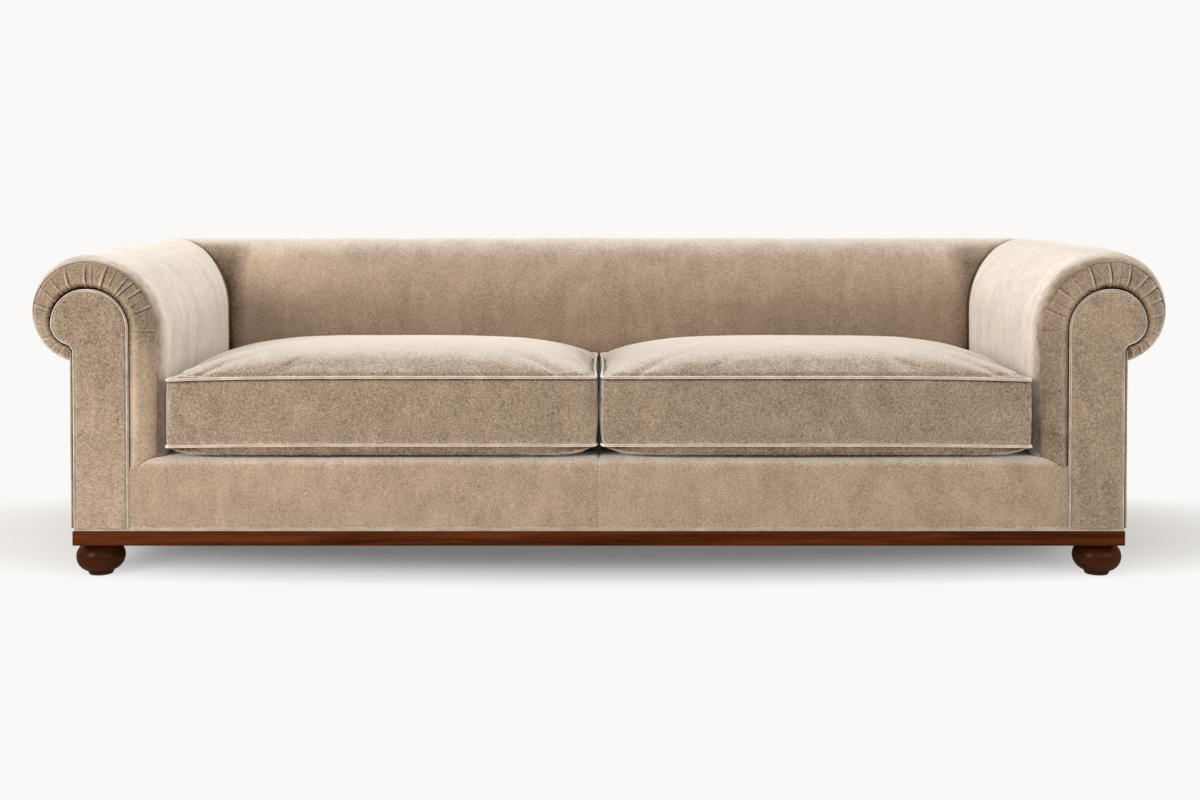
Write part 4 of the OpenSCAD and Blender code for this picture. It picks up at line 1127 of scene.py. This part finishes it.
def seam_pucker(at, seed):
    """Small gathers that the stitching draws in close to a seam, and the dip beside the piping."""
    low = at.z < seam_middle
    near = abs(at.z - seam_low) if low else abs(at.z - seam_top)
    if near > pucker_reach:
        return 0.0
    bunched = 0.5 + 0.5 * noise.noise(Vector((at.x * 9 + seed, at.y * 9, 3.0 * low)))
    draw = noise.noise(Vector((at.x * 95 + seed, at.y * 95, at.z * 8)))
    at_ends = max(0.0, abs(at.x) / form_half_x - 0.72) / 0.28
    dip = 0.0007 if low and at.z > seam_low else 0.0022
    return (pucker_height * (0.7 + 1.5 * at_ends) * draw * bunched * bell(near, pucker_width)
            - dip * bell(near - 0.0035, 0.0028))


def cushion_lift(at, seed):
    swells = drape(at, 6, 0.0008, seed) + drape(at, 24, 0.0004, 2 * seed) + seam_pucker(at, seed)
    return max(-under_swell, min(swells, under_swell)) if at.z < seam_low - 0.006 else swells


# Painted contact shadow where the underside touches the deck, and painted shade over the rest of the
# underside
contact_height, contact_painted_shadow, under_painted_shade = 0.0354, -1.2, -0.20


def cushion_painted_shade(side, at):
    """Painted shade just above and under the top cord and under the lower one, and a painted highlight above
    the lower one.
    The underside gets painted shade, darker further in from the front, and a painted contact shadow where it
    touches the deck."""
    drop = seam_fall(side, at.x / form_half_x)
    over_top, over_low = at.z - seam_top - drop, at.z - seam_low - drop / 2
    if over_top > 0:
        return -0.12 * bell(over_top, 0.004)
    if over_low > 0:
        return -0.75 * bell(over_top + 0.0045, 0.0028) + 0.25 * bell(over_low, 0.008)
    far_under = limited((at.y + form_half_y - 0.012) / 0.025)
    touching = limited((contact_height - at.z) / 0.003)
    return under_painted_shade - 0.9 * bell(over_low + 0.004, 0.003) - 0.5 * far_under + contact_painted_shadow * touching


def lies_on(y):
    """Height of the deck, or of the rail's rounded edge in front of it, in the deck's own slope."""
    return math.sqrt(max(0.0, rail_radius ** 2 - min(0.0, y) ** 2)) + velvet_thick / 2


rim_angle, cloth_slack, cloth_cap = math.radians(25), 0.015, 0.012
for side, name in both_sides:
    body = "seat_cushion_" + name
    skin = cushion_form(side)
    rim = {v for v in skin.verts if any(abs(e.calc_face_angle(0)) > rim_angle for e in v.link_edges)}
    skin.verts.index_update()
    filled(skin, [v.index for v in rim], cloth_slack, cloth_cap)
    bmesh.ops.subdivide_edges(skin, edges=skin.edges[:], cuts=1, use_grid_fill=True, smooth=0.0)
    # Painted shade and highlight along the seams and under the cushion, kept in the mesh
    painted_light = skin.verts.layers.float.new("painted_light")
    for v in skin.verts:
        v[painted_light] = cushion_painted_shade(side, v.co)
    raised(skin, lambda at: cushion_lift(at, 4.7 + 3 * side))
    for v in skin.verts:
        v.co.z = max(v.co.z, lies_on(cushion_y + v.co.y))
        v.co = on_deck(side * cushion_x + v.co.x, cushion_y + v.co.y, v.co.z)
    piece = placed("velvet_cushion_" + name, skin, cushion_velvet, body, "velvet", "cushion_cover_" + name)
    lines = []
    for level, share in ((seam_low, 0.5), (seam_top, 1.0)):
        ring = [(*cushion_plan(s, t, outset=welt_radius + welt_gap), level + share * seam_fall(side, s))
                for s, t in border_shares(90, 60)]
        lines.append(([on_deck(side * cushion_x + x, cushion_y + y, z) for x, y, z in ring], True))
    cord_piece("cushion_cord_" + name, lines, welt_radius, piping_velvet, body, "piping",
               "cushion_piping_" + name)


# Zips: a nylon coil zip in the rear border of each cushion, its tapes dyed to match, with a brass slider.
# It opens the cover so that the core can be taken out.
zip_y, zip_z = cushion_y + form_half_y + 0.0043, 0.1225
zip_half, tape_half, tape_thick = 0.3957, 0.012, 0.0004
tooth_pitch, tooth_size, tooth_step = 0.0026, (0.0014, 0.0008, 0.0036, 1), 0.0008
tape_columns, tape_rows = 120, 12
zip_tape = fibrous("zip_tape", 0.85, (900, 900, 2400), 2.0, 0.5,
                   (0.20, 0.145, 0.10), (0.40, 0.31, 0.23), 0.0003)
zip_nylon = new_finish("zip_nylon", 0.35)
zip_shades = pattern(zip_nylon, (500, 500, 500), 2.0, 0.5)
coloured(zip_nylon, zip_shades, (0.26, 0.19, 0.13), (0.42, 0.33, 0.25))
rough_by(zip_nylon, zip_shades, 0.30, 0.45)
zip_brass = plated("zip_brass", (0.50, 0.33, 0.12), (0.74, 0.54, 0.24), (900, 900, 300))


def tape_point(side, i, j):
    """The tape stands out a little over the teeth."""
    x, z = zip_half * (2 * i / tape_columns - 1), tape_half * (2 * j / tape_rows - 1)
    out = tape_thick + 0.0008 * bell(z, 0.003) + 0.0003 * noise.noise(Vector((x * 60, z * 200, 0)))
    return on_deck(side * cushion_x + x, zip_y + out, zip_z + z)


for side, name in both_sides:
    body = "seat_cushion_" + name
    tape = panel(tape_columns, tape_rows, lambda i, j: tape_point(side, i, j), (side * cushion_x, 0, 0.35))
    backed(placed("zip_tape_" + name, tape, zip_tape, body, "zip_tape", "cushion_zip_" + name), tape_thick)
    teeth = bmesh.new()
    for n in range(int(2 * zip_half / tooth_pitch)):
        centre = on_deck(side * cushion_x - zip_half + tooth_pitch * (n + 0.5), zip_y + 0.0012,
                         zip_z + (tooth_step if n % 2 else -tooth_step))
        tooth = Matrix.Translation(centre) @ Matrix.Diagonal(tooth_size)
        bmesh.ops.create_cube(teeth, size=1.0, matrix=tooth)
    placed("zip_coil_" + name, teeth, zip_nylon, body, "zip_tape")
    dress(("zip_slider_" + name,), zip_brass)


# Floor and light: a plain pale floor, one large soft lamp high on the left, a weaker one on the right
# and a wide one overhead. The floor keeps the sofa's shadow, which fades out into the backdrop.
backdrop_white = (0.955, 0.947, 0.930)
shadow_half_x, shadow_half_y = 2.0, 0.55
shadow_from, shadow_to, glow_in_shadow = 0.45, 1.0, 0.17


def sees_backdrop(tree):
    """1 for a ray that comes straight from the camera, off something glossy or through something clear."""
    rays, seen = add_node(tree, "LightPath", {}), 0.0
    for kind in ("Is Camera Ray", "Is Glossy Ray", "Is Transmission Ray"):
        seen = worked_out(tree, "MAXIMUM", rays.outputs[kind], seen)
    return seen


def changes_over(tree, share, plain, pale, output):
    """Goes over from one shader to the other by a share."""
    mixed = add_node(tree, "MixShader", {0: share, 1: plain.outputs[0], 2: pale.outputs[0]})
    fed(tree, tree.nodes[output], {"Surface": mixed.outputs["Shader"]})


floor_paint = new_finish("floor_paint", 0.9)
set_surface(floor_paint, {"Base Color": (0.90, 0.89, 0.875, 1), "Specular IOR Level": 0.0})
floor_tree = floor_paint.node_tree
floor_glow = add_node(floor_tree, "Emission", {"Color": (*backdrop_white, 1)})
floor_squash = add_node(floor_tree, "Mapping", {"Vector": own_place(floor_tree),
                                                "Scale": (1 / shadow_half_x, 1 / shadow_half_y, 0)})
floor_reach = add_node(floor_tree, "VectorMath", {0: floor_squash.outputs["Vector"]}, operation="LENGTH")
floor_far = ranged(floor_paint, floor_reach.outputs["Value"], shadow_from, shadow_to)
floor_bent = worked_out(floor_tree, "POWER", floor_far, 2.0)
floor_fade = ranged(floor_paint, floor_bent, 0.0, 1.0, glow_in_shadow, 1.0)
floor_seen = worked_out(floor_tree, "MULTIPLY", floor_fade, sees_backdrop(floor_tree))
changes_over(floor_tree, floor_seen, floor_tree.nodes["Principled BSDF"], floor_glow, "Material Output")
floor_shape = bmesh.new()
bmesh.ops.create_grid(floor_shape, x_segments=4, y_segments=4, size=30)
floor_mesh = bpy.data.meshes.new("floor")
floor_shape.to_mesh(floor_mesh)
floor_shape.free()
floor_mesh.materials.append(floor_paint)
floor = bpy.data.objects.new("floor", floor_mesh)
bpy.context.scene.collection.objects.link(floor)

sky = bpy.data.worlds.new("room")
bpy.context.scene.world = sky
sky.use_nodes = True
room_light = fed(sky.node_tree, sky.node_tree.nodes["Background"],
                 {"Color": (1.0, 0.985, 0.965, 1), "Strength": 0.46})
room_white = add_node(sky.node_tree, "Background", {"Color": (*backdrop_white, 1), "Strength": 1.0})
changes_over(sky.node_tree, sees_backdrop(sky.node_tree), room_light, room_white, "World Output")


def soft_lamp(name, place, aim, width, height, power, colour):
    light = bpy.data.lights.new(name, "AREA")
    light.shape = "RECTANGLE"
    light.size, light.size_y = width, height
    light.energy = power
    light.color = colour
    lamp = bpy.data.objects.new(name, light)
    lamp.location = place
    lamp.rotation_euler = (Vector(aim) - Vector(place)).to_track_quat("-Z", "Y").to_euler()
    bpy.context.scene.collection.objects.link(lamp)


soft_lamp("key_lamp", (-3.0, -3.4, 1.7), (0, 0, 0.35), 2.0, 1.8, 122, (1.0, 0.985, 0.96))
soft_lamp("fill_lamp", (3.4, -3.2, 1.6), (0, 0, 0.35), 2.6, 2.0, 50, (1.0, 0.99, 0.975))
soft_lamp("top_lamp", (0, 0.2, 3.4), (0, 0.1, 0), 3.8, 1.8, 46, (1.0, 0.99, 0.975))


# Camera: straight in front, a little above the arms and tipped slightly down, as in the photograph.
lens_side, lens_height, lens_distance, lens_tilt = 0.0026, 0.886, 3.38, math.radians(1.37)
lens_length, frame_shift = 48.04, -0.165
camera_data = bpy.data.cameras.new("camera")
camera_data.sensor_width = 36
camera_data.lens = lens_length
camera_data.shift_y = frame_shift
camera = bpy.data.objects.new("camera", camera_data)
camera.location = (lens_side, front_y - lens_distance, lens_height)
camera.rotation_euler = (math.pi / 2 - lens_tilt, 0, 0)
bpy.context.scene.collection.objects.link(camera)
bpy.context.scene.camera = camera
bpy.context.scene.view_settings.view_transform = "Standard"
